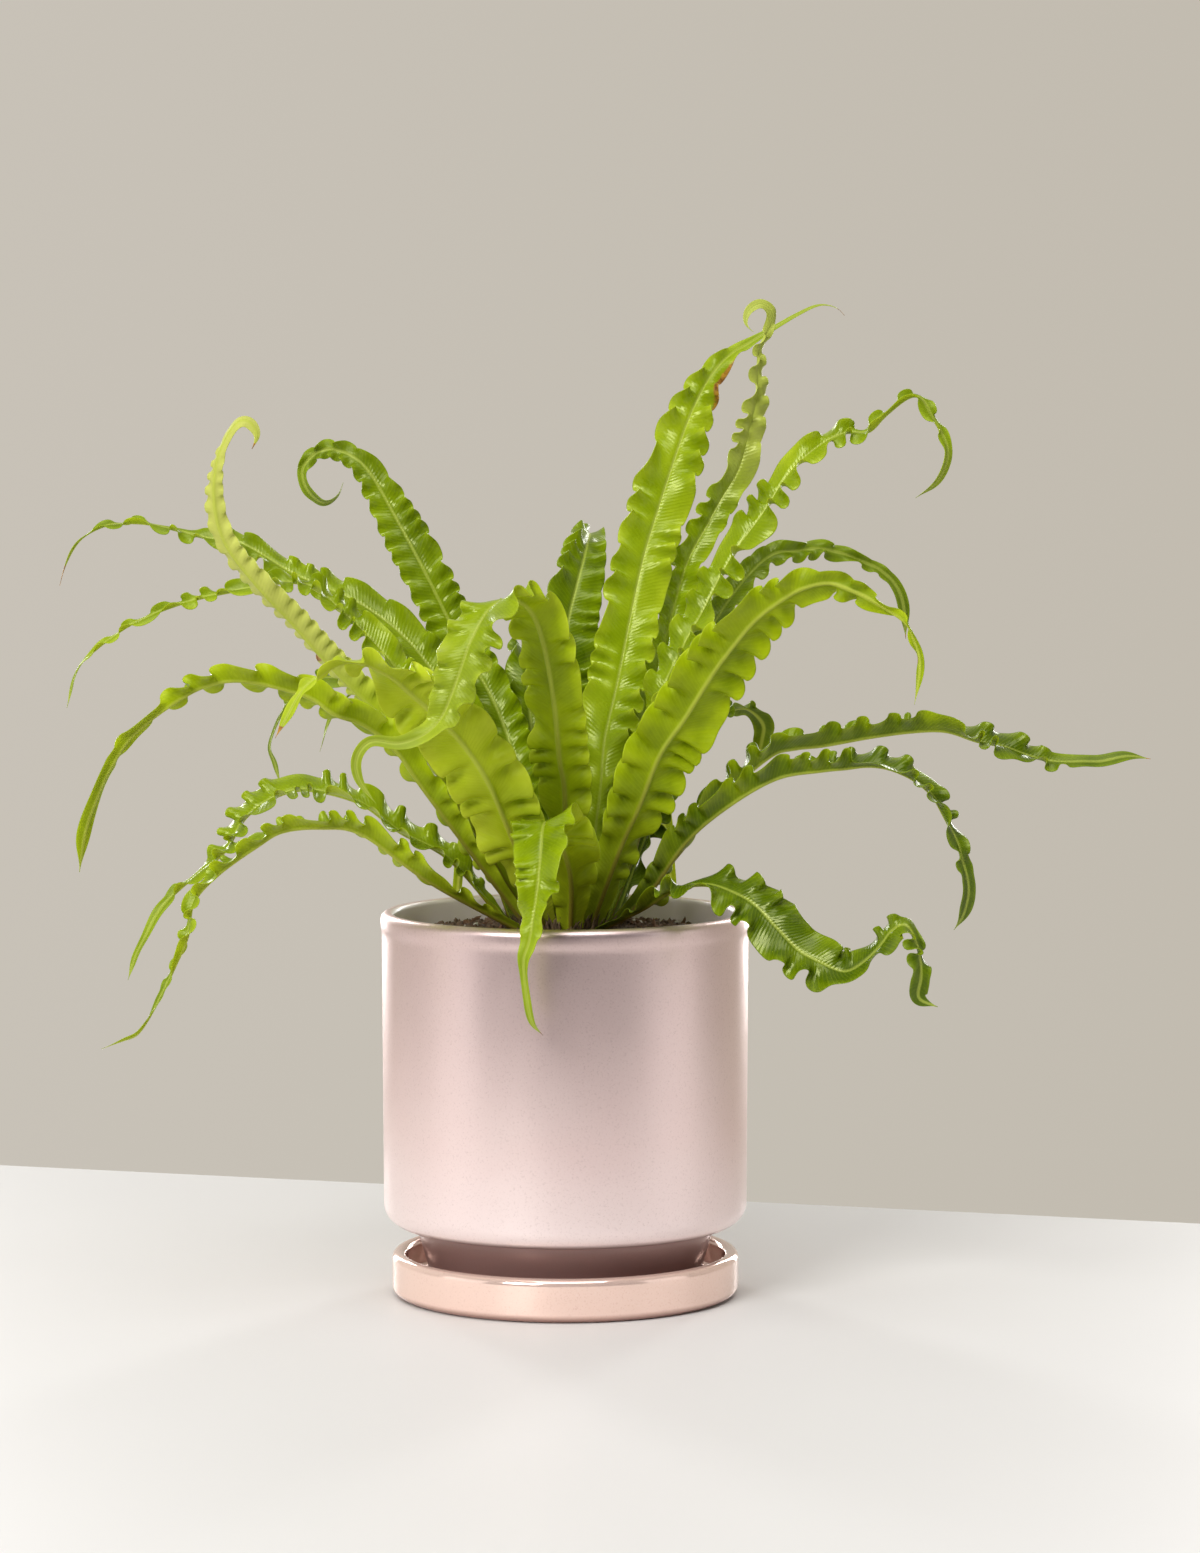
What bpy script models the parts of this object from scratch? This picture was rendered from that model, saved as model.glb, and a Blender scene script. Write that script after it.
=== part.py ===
"""A bird's nest fern in a glazed pot on its saucer.

The saucer lies on Z = 0 and its centre is the origin. The pot's foot stands on the saucer's floor, the soil
fills the pot, and the crown sits in a hollow of the soil. Every frond is a blade of its own that starts on
the crown. The plant's front is -Y and its right is +X. Sizes are in metres, and the frond table is in
millimetres from the pot's axis and rim plane.
"""

import math

import bmesh
import bpy
from mathutils import Vector

MM = 0.001

# Saucer
SAUCER_RADIUS = 0.066
SAUCER_HEIGHT = 0.0165
SAUCER_FLOOR = 0.005
SAUCER_WALL = 0.0055
SAUCER_INNER_CORNER = 0.0025
SAUCER_BASE_INSET = 0.0035

# Pot
POT_RADIUS = 0.070
POT_TAPER = 0.001
POT_HEIGHT = 0.119
POT_WALL = 0.005
POT_CORNER = 0.008
POT_FLOOR = 0.006
POT_INNER_CORNER = 0.006
LIP_OUTER = 0.003
FOOT_RADIUS = 0.0565
FOOT_TAPER = 0.0055
FOOT_HEIGHT = 0.0217
FOOT_WALL = 0.006
FOOT_EDGE = 0.0015
DRAIN_RADIUS = 0.008

# Soil and crown
SOIL_DEPTH = 0.010
SOIL_MOUND = 0.004
CROWN_RADIUS = 0.024
CROWN_SINK = 0.012
CROWN_TOP = 0.003
CROWN_DOME = 0.004

# Fronds
FROND_THICKNESS = 0.0012
FROND_REACH = 0.226
FROND_RISE = 0.230
DRAWN_REACH = 0.226
DRAWN_RISE = 0.230
DRAWN_CROWN = 0.024
TIP_FOLD = 9.0  # degrees that each half of a blade rises from flat at its tip
BASE_SHARE = 0.38
FULL_SHARE = 0.28
TAPER_END = 0.90
TIP_CROWDING = 1.5
RIM_CLEARANCE = 0.004
STATIONS = 24
CELLS_ACROSS = 2

GAP = 0.0003
TURN_STEPS = 48
ARC_STEPS = 4

FOOT_BOTTOM = SAUCER_FLOOR + GAP
BODY_BOTTOM = FOOT_BOTTOM + FOOT_HEIGHT
RIM_HEIGHT = BODY_BOTTOM + POT_HEIGHT
INNER_RADIUS = POT_RADIUS - POT_WALL
INNER_FLOOR = BODY_BOTTOM + POT_FLOOR

GLAZE = (0.83, 0.62, 0.55)
SOIL_BROWN = (0.045, 0.028, 0.018)
CROWN_BROWN = (0.12, 0.08, 0.035)
LEAF_GREEN = (0.20, 0.36, 0.03)

# name: (widest blade, share of the length where it starts to narrow, tip width, fold in degrees),
# (roll at the foot, the middle and the tip in degrees), (x, y) of the foot on the crown,
# then the points that the midrib passes, from the foot to the tip
FRONDS = {
    "frond_left_curl": ((18, 0.6, 5, 10), (0, -20, -40), (-4, 14), [
        (-23, 37, 66), (-42, 48, 102), (-54, 52, 126), (-66, 58, 148), (-76, 62, 165), (-84, 65, 172),
        (-94, 68, 174), (-102, 70, 168), (-102, 71, 161), (-99, 72, 156), (-94, 73, 153), (-89, 75, 156),
        (-87, 76, 161)]),
    "frond_left_pale": ((15, 0.55, 6, 28), (20, 45, 40), (-13, -2), [
        (-50, -25, 58), (-72, -35, 80), (-89, -42, 98), (-101, -46, 112), (-112, -50, 124),
        (-124, -52, 140), (-128, -53, 155), (-127, -54, 170), (-123, -54, 180), (-119, -55, 185),
        (-115, -55, 185), (-112, -56, 180), (-114, -57, 175)]),
    "frond_left_back_long": ((19, 0.35, 5, 14), (0, -30, -20), (-14, 9), [
        (-34, 20, 60), (-55, 29, 95), (-77, 36, 114), (-104, 43, 126), (-125, 48, 138), (-139, 52, 140),
        (-160, 56, 145), (-176, 60, 145), (-186, 61, 141), (-191, 62, 136), (-195, 62, 128),
        (-197, 62, 121)]),
    "frond_left_long": ((15, 0.35, 4, 20), (-20, -35, -30), (-20, 4), [
        (-42, -3, 58), (-64, 2, 92), (-83, 8, 112), (-100, 11, 124), (-125, 14, 121), (-146, 15, 116),
        (-165, 16, 108), (-180, 17, 97), (-186, 18, 90), (-190, 18, 76)]),
    "frond_left_spear": ((15, 0.5, 7, 34), (15, 30, 50), (-15, -9), [
        (-50, -35, 46), (-62, -45, 64), (-73, -54, 74), (-84, -66, 79), (-92, -70, 85), (-107, -76, 90),
        (-119, -81, 92), (-130, -84, 90), (-141, -88, 84), (-155, -92, 73), (-163, -94, 61),
        (-168, -95, 50), (-172, -96, 38), (-174, -96, 24)]),
    "frond_front_left_broad": ((27, 0.5, 5, 9), (20, 40, -20), (-8, -15), [
        (-14, -29, 16), (-21, -44, 35), (-28, -57, 53), (-36, -64, 66), (-44, -74, 76), (-54, -84, 86),
        (-64, -94, 95), (-76, -104, 100), (-86, -112, 96), (-93, -117, 90), (-98, -121, 81),
        (-102, -124, 74)]),
    "frond_back_left_hanging": ((16, 0.4, 4, 12), (0, 0, 0), (-10, 19), [
        (-40, 62, 50), (-70, 78, 76), (-92, 84, 84), (-106, 87, 79), (-112, 88, 70), (-117, 88, 57),
        (-115, 88, 50), (-113, 88, 41)]),
    "frond_back_left_small": ((12, 0.35, 3, 12), (0, 0, 0), (-18, 12), [
        (-34, 42, 38), (-56, 55, 70), (-76, 60, 82), (-90, 62, 72), (-96, 63, 56)]),
    "frond_low_left_upper": ((18, 0.5, 4, 22), (-15, -35, -40), (-21, -6), [
        (-43, -6, 20), (-62, -8, 31), (-77, -9, 42), (-96, -10, 47), (-108, -12, 45), (-120, -14, 37),
        (-128, -15, 24), (-138, -16, 16), (-148, -18, 7), (-153, -19, 1), (-157, -20, -7),
        (-161, -20, -15), (-164, -20, -24)]),
    "frond_low_left_lower": ((15, 0.4, 4, 30), (0, 10, 0), (-18, -13), [
        (-50, -30, 14), (-75, -40, 33), (-90, -46, 36), (-104, -51, 35), (-113, -55, 30), (-127, -59, 20),
        (-136, -62, 10), (-138, -64, -2), (-142, -66, -12), (-148, -68, -25), (-155, -70, -37),
        (-161, -71, -40), (-169, -72, -43)]),
    "frond_centre_fold": ((22, 0.64, 4, 9), (0, -20, -90), (-1, -7), [
        (0, -26, 44), (-2, -34, 60), (-4, -44, 82), (-8, -54, 105), (-13, -62, 117), (-20, -70, 121),
        (-27, -79, 118), (-34, -88, 106), (-39, -95, 92), (-44, -101, 80), (-50, -105, 74),
        (-59, -108, 71), (-69, -110, 72), (-74, -112, 66), (-73, -113, 58), (-67, -113, 50)]),
    "frond_back_dark": ((20, 0.4, 5, 12), (0, 0, 0), (-3, 19), [
        (-10, 34, 40), (-14, 50, 76), (-15, 58, 90), (-17, 74, 97), (-19, 96, 88), (-21, 112, 68)]),
    "frond_centre_short": ((24, 0.5, 9, 12), (0, 0, 0), (-2, 4), [
        (0, 18, 56), (-1, 27, 86), (1, 34, 107), (4, 40, 120), (7, 48, 131), (9, 60, 139), (10, 76, 141),
        (11, 94, 133), (12, 106, 120)]),
    "frond_tall_centre": ((23, 0.6, 2.5, 12), (40, 75, 50), (7, 2), [
        (13, 4, 42), (15, 9, 64), (20, 15, 86), (29, 26, 129), (36, 34, 152), (43, 40, 173),
        (49, 45, 189), (56, 50, 202), (63, 54, 210), (71, 58, 215), (83, 62, 222), (90, 64, 226),
        (99, 66, 230), (106, 67, 229), (109, 67, 226)]),
    "frond_tall_twist": ((13, 0.7, 4, 24), (30, 60, 90), (12, 11), [
        (31, 25, 71), (40, 31, 107), (47, 35, 131), (54, 37, 144), (60, 38, 155), (67, 38, 167),
        (71, 38, 182), (74, 37, 195), (74, 36, 205), (75, 35, 214), (79, 34, 222), (79, 33, 227),
        (75, 32, 230), (70, 31, 227), (69, 30, 222), (72, 29, 219)]),
    "frond_front_right_broad": ((26, 0.45, 4, 9), (-20, -35, -30), (10, -13), [
        (21, -22, 27), (27, -29, 41), (35, -38, 62), (44, -46, 76), (54, -55, 93), (61, -60, 103),
        (69, -66, 113), (79, -72, 121), (86, -76, 125), (95, -80, 127), (104, -84, 124), (112, -87, 120),
        (122, -91, 113), (125, -93, 107), (127, -95, 98), (125, -96, 84)]),
    "frond_right_ruffled": ((17, 0.5, 5, 18), (20, 55, 60), (16, -3), [
        (28, -4, 31), (36, -5, 80), (45, 0, 101), (52, 6, 113), (58, 8, 125), (65, 9, 137), (74, 10, 149),
        (83, 11, 163), (89, 12, 170), (98, 12, 177), (107, 12, 181), (115, 12, 181), (121, 12, 187),
        (130, 12, 194), (135, 12, 194), (139, 12, 187), (144, 12, 178), (145, 12, 171), (141, 12, 162),
        (133, 12, 156)]),
    "frond_back_right_arch": ((19, 0.35, 5, 14), (0, 15, 40), (10, 18), [
        (24, 40, 50), (44, 54, 80), (52, 57, 96), (64, 65, 115), (73, 70, 126), (82, 75, 133),
        (91, 79, 134), (100, 82, 135), (109, 84, 133), (117, 86, 130), (125, 87, 126), (131, 88, 120),
        (134, 88, 112), (135, 88, 99)]),
    "frond_back_right_short": ((18, 0.4, 8, 12), (0, 0, 0), (19, 11), [
        (42, 42, 52), (56, 58, 68), (65, 68, 72), (72, 74, 72), (78, 79, 66), (78, 81, 60), (76, 82, 52)]),
    "frond_far_right": ((18, 0.72, 6, 38), (-25, 0, 60), (20, 2), [
        (44, 12, 22), (59, 18, 41), (78, 24, 57), (88, 27, 60), (99, 29, 61), (117, 31, 64), (134, 33, 66),
        (147, 34, 66), (159, 35, 62), (169, 35, 60), (180, 35, 56), (190, 35, 54), (200, 35, 54),
        (207, 35, 54), (217, 35, 56), (226, 35, 55)]),
    "frond_right_droop": ((18, 0.55, 7, 38), (-25, -5, 50), (19, -8), [
        (32, -14, 9), (46, -19, 29), (62, -25, 43), (79, -30, 53), (95, -34, 56), (104, -36, 57),
        (112, -38, 58), (120, -39, 57), (129, -40, 53), (136, -41, 47), (140, -42, 40), (145, -42, 30),
        (147, -42, 23), (149, -42, 15), (149, -42, 9), (147, -42, 2), (144, -42, -3)]),
    "frond_right_over_rim": ((21, 0.5, 8, 9), (10, 50, 40), (13, -17), [
        (29, -28, 4), (37, -35, 10), (45, -43, 14), (53, -50, 15), (61, -57, 13), (69, -63, 9),
        (77, -68, 1), (85, -72, -7), (93, -76, -11), (101, -79, -14), (107, -82, -11), (113, -85, -5),
        (118, -88, 2), (123, -90, 4), (127, -92, -4), (128, -93, -14), (127, -94, -22), (134, -95, -25)]),
    "frond_front_fold": ((26, 0.4, 3, 9), (0, 0, 0), (2, -21), [
        (2, -33, 16), (-2, -48, 31), (-6, -60, 39), (-8, -72, 38), (-9, -81, 27), (-11, -86, 10),
        (-13, -88, -2), (-15, -89, -9), (-14, -89, -21), (-12, -89, -31), (-8, -89, -36)]),
    "frond_back_centre": ((18, 0.4, 5, 12), (0, 0, 0), (6, 16), [
        (10, 36, 56), (14, 50, 84), (17, 68, 95), (21, 90, 88), (25, 108, 70)]),
    "frond_back_low_left": ((18, 0.4, 5, 14), (0, 0, 0), (-4, 23), [
        (-8, 50, 30), (-20, 88, 46), (-34, 122, 38), (-42, 144, 10), (-45, 152, -16)]),
    "frond_back_low_right": ((18, 0.4, 5, 14), (0, 0, 0), (4, 23), [
        (14, 50, 32), (26, 88, 48), (36, 122, 38), (42, 144, 10), (44, 152, -18)]),
}


def clear_scene():
    for old in list(bpy.data.objects):
        bpy.data.objects.remove(old, do_unlink=True)


def new_collection(name):
    collection = bpy.data.collections.new(name)
    bpy.context.scene.collection.children.link(collection)
    return collection


def new_material(name, colour, roughness, metallic):
    material = bpy.data.materials.new(name)
    material.use_nodes = True
    shader = material.node_tree.nodes["Principled BSDF"]
    shader.inputs["Base Color"].default_value = (*colour, 1.0)
    shader.inputs["Roughness"].default_value = roughness
    shader.inputs["Metallic"].default_value = metallic
    return material


def add_object(name, mesh, collection, material):
    obj = bpy.data.objects.new(name, mesh)
    collection.objects.link(obj)
    obj.data.materials.append(material)
    return obj


def arc(centre_r, centre_z, radius, start, end):
    """Points of a round corner in the (radius, height) plane, from start to end in degrees."""
    points = []
    for step in range(ARC_STEPS + 1):
        angle = math.radians(start + (end - start) * step / ARC_STEPS)
        points.append((centre_r + radius * math.cos(angle), centre_z + radius * math.sin(angle)))
    return points


def turned(name, outline, closed, collection, material):
    """A solid of revolution about Z from an outline of (radius, height) points."""
    mesh = bpy.data.meshes.new(name)
    edges = [(i, i + 1) for i in range(len(outline) - 1)]
    if closed:
        edges.append((len(outline) - 1, 0))
    mesh.from_pydata([(radius, 0.0, height) for radius, height in outline], edges, [])
    obj = add_object(name, mesh, collection, material)
    screw = obj.modifiers.new("turn", "SCREW")
    screw.axis = "Z"
    screw.steps = TURN_STEPS
    screw.render_steps = TURN_STEPS
    screw.use_merge_vertices = True
    screw.merge_threshold = 0.00001
    screw.use_smooth_shade = True
    return obj


def saucer_outline():
    """From the middle of the floor, up the wall, over its round lip, down outside and under to the axis."""
    lip = SAUCER_WALL / 2
    corner = SAUCER_INNER_CORNER
    outline = [(0.0, SAUCER_FLOOR)]
    outline += arc(
        SAUCER_RADIUS - SAUCER_WALL - corner, SAUCER_FLOOR + corner, corner, -90, 0
    )
    outline += arc(SAUCER_RADIUS - lip, SAUCER_HEIGHT - lip, lip, 180, 0)
    outline += arc(
        SAUCER_RADIUS - SAUCER_BASE_INSET, SAUCER_BASE_INSET, SAUCER_BASE_INSET, 0, -90
    )
    outline.append((0.0, 0.0))
    return outline


def pot_outline():
    """From the rim down the outside and foot, up under the floor, through the drain and up the inside."""
    bottom_radius = POT_RADIUS - POT_TAPER
    foot_tip = FOOT_RADIUS - FOOT_TAPER
    lip_inner = POT_WALL - LIP_OUTER
    outline = arc(POT_RADIUS - LIP_OUTER, RIM_HEIGHT - LIP_OUTER, LIP_OUTER, 90, 0)
    outline += arc(bottom_radius - POT_CORNER, BODY_BOTTOM + POT_CORNER, POT_CORNER, 0, -90)
    outline.append((FOOT_RADIUS, BODY_BOTTOM))
    outline += arc(foot_tip - FOOT_EDGE, FOOT_BOTTOM + FOOT_EDGE, FOOT_EDGE, 0, -90)
    outline.append((foot_tip - FOOT_WALL, FOOT_BOTTOM))
    outline.append((FOOT_RADIUS - FOOT_WALL, BODY_BOTTOM))
    outline.append((DRAIN_RADIUS, BODY_BOTTOM))
    outline.append((DRAIN_RADIUS, INNER_FLOOR))
    outline += arc(
        INNER_RADIUS - POT_INNER_CORNER, INNER_FLOOR + POT_INNER_CORNER, POT_INNER_CORNER, -90, 0
    )
    outline += arc(INNER_RADIUS + lip_inner, RIM_HEIGHT - lip_inner, lip_inner, 180, 90)
    return outline


def crown_surface(radius):
    """Height of the crown's dome at this distance from the axis."""
    return RIM_HEIGHT - CROWN_TOP - CROWN_DOME * (radius / CROWN_RADIUS) ** 2


def crown_pit(extra):
    """The crown's rounded underside from its edge to the axis, or with extra room, the soil's hollow."""
    centre_z = crown_surface(CROWN_RADIUS) - CROWN_SINK / 2
    points = []
    for step in range(ARC_STEPS + 1):
        angle = math.radians(90 * step / ARC_STEPS)
        radius = (CROWN_RADIUS + extra) * math.cos(angle)
        points.append((max(radius, 0.0), centre_z - (CROWN_SINK / 2 + extra) * math.sin(angle)))
    points[-1] = (0.0, points[-1][1])
    return points


def crown_outline():
    dome = [(CROWN_RADIUS * step / ARC_STEPS, 0.0) for step in range(ARC_STEPS + 1)]
    outline = [(radius, crown_surface(radius)) for radius, _ in dome]
    return outline + crown_pit(0.0)


def soil_outline():
    """From the hollow under the crown, over the mound to the pot's wall, and down to the pot's floor."""
    radius = INNER_RADIUS - GAP
    edge_z = RIM_HEIGHT - SOIL_DEPTH
    corner = POT_INNER_CORNER
    floor_z = INNER_FLOOR + GAP
    outline = list(reversed(crown_pit(GAP)))
    outline.append((CROWN_RADIUS + GAP, edge_z + SOIL_MOUND))
    outline.append(((CROWN_RADIUS + radius) / 2, edge_z + SOIL_MOUND * 0.5))
    outline.append((radius, edge_z))
    outline += arc(radius - corner, floor_z + corner, corner, 0, -90)
    outline.append((0.0, floor_z))
    return outline


def smooth_step(low, high, value):
    share = min(max((value - low) / (high - low), 0.0), 1.0)
    return share * share * (3 - 2 * share)


def blade_width(blade, share):
    """Blade width in metres: narrow at the foot, full by a quarter, then narrowing to the tip's width."""
    widest, narrows_from, tip, _ = blade
    opening = BASE_SHARE + (1 - BASE_SHARE) * smooth_step(0.0, FULL_SHARE, share)
    taper = 1 - (1 - tip / widest) * smooth_step(narrows_from, TAPER_END, share)
    return widest * MM * opening * taper


def fold_at(blade, share):
    """How far each half of the blade rises from flat, in radians, easing to the shallow fold of the tip."""
    folded = blade[3]
    return math.radians(folded + (TIP_FOLD - folded) * smooth_step(0.5, 1.0, share))


def roll_at(rolls, share):
    """The blade's turn about its midrib in radians, eased from the foot through the middle to the tip."""
    foot, middle, tip = rolls
    if share < 0.5:
        return math.radians(foot + (middle - foot) * smooth_step(0.0, 0.5, share))
    return math.radians(middle + (tip - middle) * smooth_step(0.5, 1.0, share))


def clear_of_pot(point):
    """The point moved outwards where it would hang inside the pot's wall or too close to it."""
    distance = math.hypot(point.x, point.y)
    nearest = POT_RADIUS + RIM_CLEARANCE
    if point.z > RIM_HEIGHT + RIM_CLEARANCE or distance < INNER_RADIUS or distance > nearest:
        return point
    return Vector((point.x * nearest / distance, point.y * nearest / distance, point.z))


def midrib_points(foot, drawn):
    """The frond's own points in the scene: the foot on the crown, then the drawn points."""
    wide = MM * FROND_REACH / DRAWN_REACH
    high = MM * FROND_RISE / DRAWN_RISE
    near = MM * CROWN_RADIUS / DRAWN_CROWN
    seat = Vector((foot[0] * near, foot[1] * near, 0.0))
    seat.z = crown_surface(seat.length) + GAP + FROND_THICKNESS / 2
    points = [seat]
    for x, y, z in drawn:
        points.append(clear_of_pot(Vector((x * wide, y * wide, RIM_HEIGHT + z * high))))
    return points


def through_points(points, pieces=10):
    """A dense line of points on the Catmull-Rom curve that passes all of the given ones."""
    ends = [2 * points[0] - points[1], *points, 2 * points[-1] - points[-2]]
    line = []
    for before, start, end, after in zip(ends, ends[1:], ends[2:], ends[3:]):
        for piece in range(pieces):
            t = piece / pieces
            line.append(
                0.5
                * (
                    2 * start
                    + (end - before) * t
                    + (2 * before - 5 * start + 4 * end - after) * t**2
                    + (3 * start - before - 3 * end + after) * t**3
                )
            )
    line.append(points[-1].copy())
    return line


def share_of(index):
    """How far along the blade a station lies: they stand closer together towards the curled tip."""
    return 1 - (1 - index / (STATIONS - 1)) ** TIP_CROWDING


def stations_on(line):
    """The points of the line where the stations lie, measured along its length."""
    lengths = [0.0]
    for start, end in zip(line, line[1:]):
        lengths.append(lengths[-1] + (end - start).length)
    stations = []
    place = 0
    for index in range(STATIONS):
        wanted = lengths[-1] * share_of(index)
        while place < len(line) - 2 and lengths[place + 1] < wanted:
            place += 1
        share = (wanted - lengths[place]) / (lengths[place + 1] - lengths[place])
        stations.append(line[place].lerp(line[place + 1], min(share, 1.0)))
    return stations


def frames_along(stations, foot, rolls):
    """A (side, face) pair at each station: face is the upper side's normal, carried along without twisting.

    The face starts half up and half towards the pot's axis, and is then rolled about the midrib.
    """
    outward = Vector((foot[0], foot[1], 0.0)).normalized()
    face = Vector((0.0, 0.0, 1.0)) - outward
    frames = []
    last = len(stations) - 1
    for index in range(len(stations)):
        ahead = stations[min(index + 1, last)]
        behind = stations[max(index - 1, 0)]
        along = (ahead - behind).normalized()
        face = (face - along * face.dot(along)).normalized()
        roll = roll_at(rolls, share_of(index))
        turned_face = face * math.cos(roll) + along.cross(face) * math.sin(roll)
        frames.append((along.cross(turned_face), turned_face))
    return frames


def frond(name, blade, rolls, foot, drawn, collection, material):
    """A blade: a grid bent along its midrib, a shallow trough across, thickened to a solid."""
    stations = stations_on(through_points(midrib_points(foot, drawn)))
    frames = frames_along(stations, foot, rolls)
    grid = bmesh.new()
    bmesh.ops.create_grid(grid, x_segments=CELLS_ACROSS, y_segments=STATIONS - 1, size=1.0)
    for vertex in grid.verts:
        across = vertex.co.x
        index = round((vertex.co.y + 1) / 2 * (STATIONS - 1))
        side, face = frames[index]
        half = blade_width(blade, share_of(index)) / 2
        fold = fold_at(blade, share_of(index))
        outwards = side * across * half * math.cos(fold)
        vertex.co = stations[index] + outwards + face * abs(across) * half * math.sin(fold)
    mesh = bpy.data.meshes.new(name)
    grid.to_mesh(mesh)
    grid.free()
    mesh.shade_smooth()
    obj = add_object(name, mesh, collection, material)
    skin = obj.modifiers.new("thickness", "SOLIDIFY")
    skin.thickness = FROND_THICKNESS
    skin.offset = 0.0
    return obj


def build():
    clear_scene()
    plant = new_collection("potted_fern")
    glaze = new_material("glaze", GLAZE, 0.3, 0.6)
    turned("saucer", saucer_outline(), False, plant, glaze)
    turned("pot", pot_outline(), True, plant, glaze.copy())
    turned("soil", soil_outline(), False, plant, new_material("soil", SOIL_BROWN, 0.95, 0.0))
    turned("crown", crown_outline(), False, plant, new_material("crown", CROWN_BROWN, 0.85, 0.0))
    for name, (blade, rolls, foot, drawn) in FRONDS.items():
        leaf = new_material(name, LEAF_GREEN, 0.38, 0.0)
        frond(name, blade, rolls, foot, drawn, plant, leaf)


build()
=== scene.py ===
"""Looks of a bird's nest fern in a rose lustre glazed pot on its saucer."""

import math

import bpy
import numpy as np
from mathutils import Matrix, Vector


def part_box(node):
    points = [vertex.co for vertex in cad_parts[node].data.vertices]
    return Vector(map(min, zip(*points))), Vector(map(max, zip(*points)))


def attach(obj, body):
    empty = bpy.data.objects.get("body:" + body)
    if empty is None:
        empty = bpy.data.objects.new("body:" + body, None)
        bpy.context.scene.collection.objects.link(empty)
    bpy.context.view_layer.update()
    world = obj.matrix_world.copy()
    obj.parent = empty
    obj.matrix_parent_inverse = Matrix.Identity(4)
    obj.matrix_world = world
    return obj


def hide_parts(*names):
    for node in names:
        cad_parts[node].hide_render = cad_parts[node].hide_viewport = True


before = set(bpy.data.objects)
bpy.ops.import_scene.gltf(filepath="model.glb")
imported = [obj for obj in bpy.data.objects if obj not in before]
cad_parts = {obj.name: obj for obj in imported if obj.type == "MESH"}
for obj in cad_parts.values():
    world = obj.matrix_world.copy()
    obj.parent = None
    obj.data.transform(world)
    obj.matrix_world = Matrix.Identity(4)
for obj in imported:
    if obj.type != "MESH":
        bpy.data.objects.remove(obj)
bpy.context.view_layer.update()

MM = 0.001

pot_low, pot_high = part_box("pot")
_, saucer_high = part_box("saucer")
soil_low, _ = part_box("soil")
_, crown_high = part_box("crown")

RIM = pot_high[2]
POT_RADIUS = pot_high[0]
SAUCER_RADIUS = saucer_high[0]
SAUCER_TOP = saucer_high[2]
FOOT_BOTTOM = pot_low[2]
CROWN_RADIUS = crown_high[0]

# ---------------------------------------------------------------- node helpers


def material(name, roughness=0.5, metallic=0.0):
    """A new node material and its shader."""
    made = bpy.data.materials.new(name)
    made.use_nodes = True
    shader = made.node_tree.nodes["Principled BSDF"]
    shader.inputs["Roughness"].default_value = roughness
    shader.inputs["Metallic"].default_value = metallic
    return made, shader


class Weave:
    """Short calls that add shader nodes to one material and join them."""

    def __init__(self, made):
        self.tree = made.node_tree

    def add(self, kind, **settings):
        node = self.tree.nodes.new(kind)
        for key, value in settings.items():
            setattr(node, key, value)
        return node

    def join(self, source, socket):
        self.tree.links.new(source, socket)

    def put(self, socket, value):
        if isinstance(value, bpy.types.NodeSocket):
            self.join(value, socket)
        else:
            socket.default_value = value

    def maths(self, operation, a, b=0.0, c=0.0):
        node = self.add("ShaderNodeMath", operation=operation)
        for socket, value in zip(node.inputs, (a, b, c)):
            self.put(socket, value)
        return node.outputs[0]

    def place(self):
        return self.add("ShaderNodeTexCoord").outputs["Object"]

    def uv(self, name):
        """The across and along values of one of the piece's own UV maps."""
        node = self.add("ShaderNodeUVMap", uv_map=name)
        split = self.add("ShaderNodeSeparateXYZ")
        self.join(node.outputs[0], split.inputs[0])
        return node.outputs[0], split.outputs[0], split.outputs[1]

    def stretch(self, vector, scale, move=(0, 0, 0)):
        node = self.add("ShaderNodeMapping")
        self.join(vector, node.inputs["Vector"])
        node.inputs["Scale"].default_value = scale
        node.inputs["Location"].default_value = move
        return node.outputs[0]

    def noise(self, vector, scale, detail=4.0, rough=0.55, twist=0.0):
        node = self.add("ShaderNodeTexNoise")
        self.join(vector, node.inputs["Vector"])
        node.inputs["Scale"].default_value = scale
        node.inputs["Detail"].default_value = detail
        node.inputs["Roughness"].default_value = rough
        node.inputs["Distortion"].default_value = twist
        return node.outputs["Fac"]

    def cells(self, vector, scale, feature="F1"):
        node = self.add("ShaderNodeTexVoronoi", feature=feature)
        self.join(vector, node.inputs["Vector"])
        node.inputs["Scale"].default_value = scale
        return node.outputs["Distance"]

    def ramp(self, value, stops):
        """A colour ramp through (place, colour) stops; a colour may be one grey number."""
        node = self.add("ShaderNodeValToRGB")
        self.put(node.inputs[0], value)
        ladder = node.color_ramp.elements
        while len(ladder) < len(stops):
            ladder.new(0.5)
        for rung, (place, colour) in zip(ladder, stops):
            rung.position = place
            rung.color = (*colour, 1.0) if isinstance(colour, tuple) else (colour, colour, colour, 1.0)
        return node.outputs[0]

    def mix(self, share, a, b, blend="MIX"):
        node = self.add("ShaderNodeMix", data_type="RGBA", blend_type=blend)
        self.put(node.inputs[0], share)
        for socket, value in ((node.inputs[6], a), (node.inputs[7], b)):
            self.put(socket, (*value, 1.0) if isinstance(value, tuple) and len(value) == 3 else value)
        return node.outputs[2]

    def bump(self, height, distance, strength=1.0, under=None):
        node = self.add("ShaderNodeBump")
        node.inputs["Strength"].default_value = strength
        node.inputs["Distance"].default_value = distance
        self.join(height, node.inputs["Height"])
        if under is not None:
            self.join(under, node.inputs["Normal"])
        return node.outputs[0]


# ---------------------------------------------------------------- mesh helpers


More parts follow.
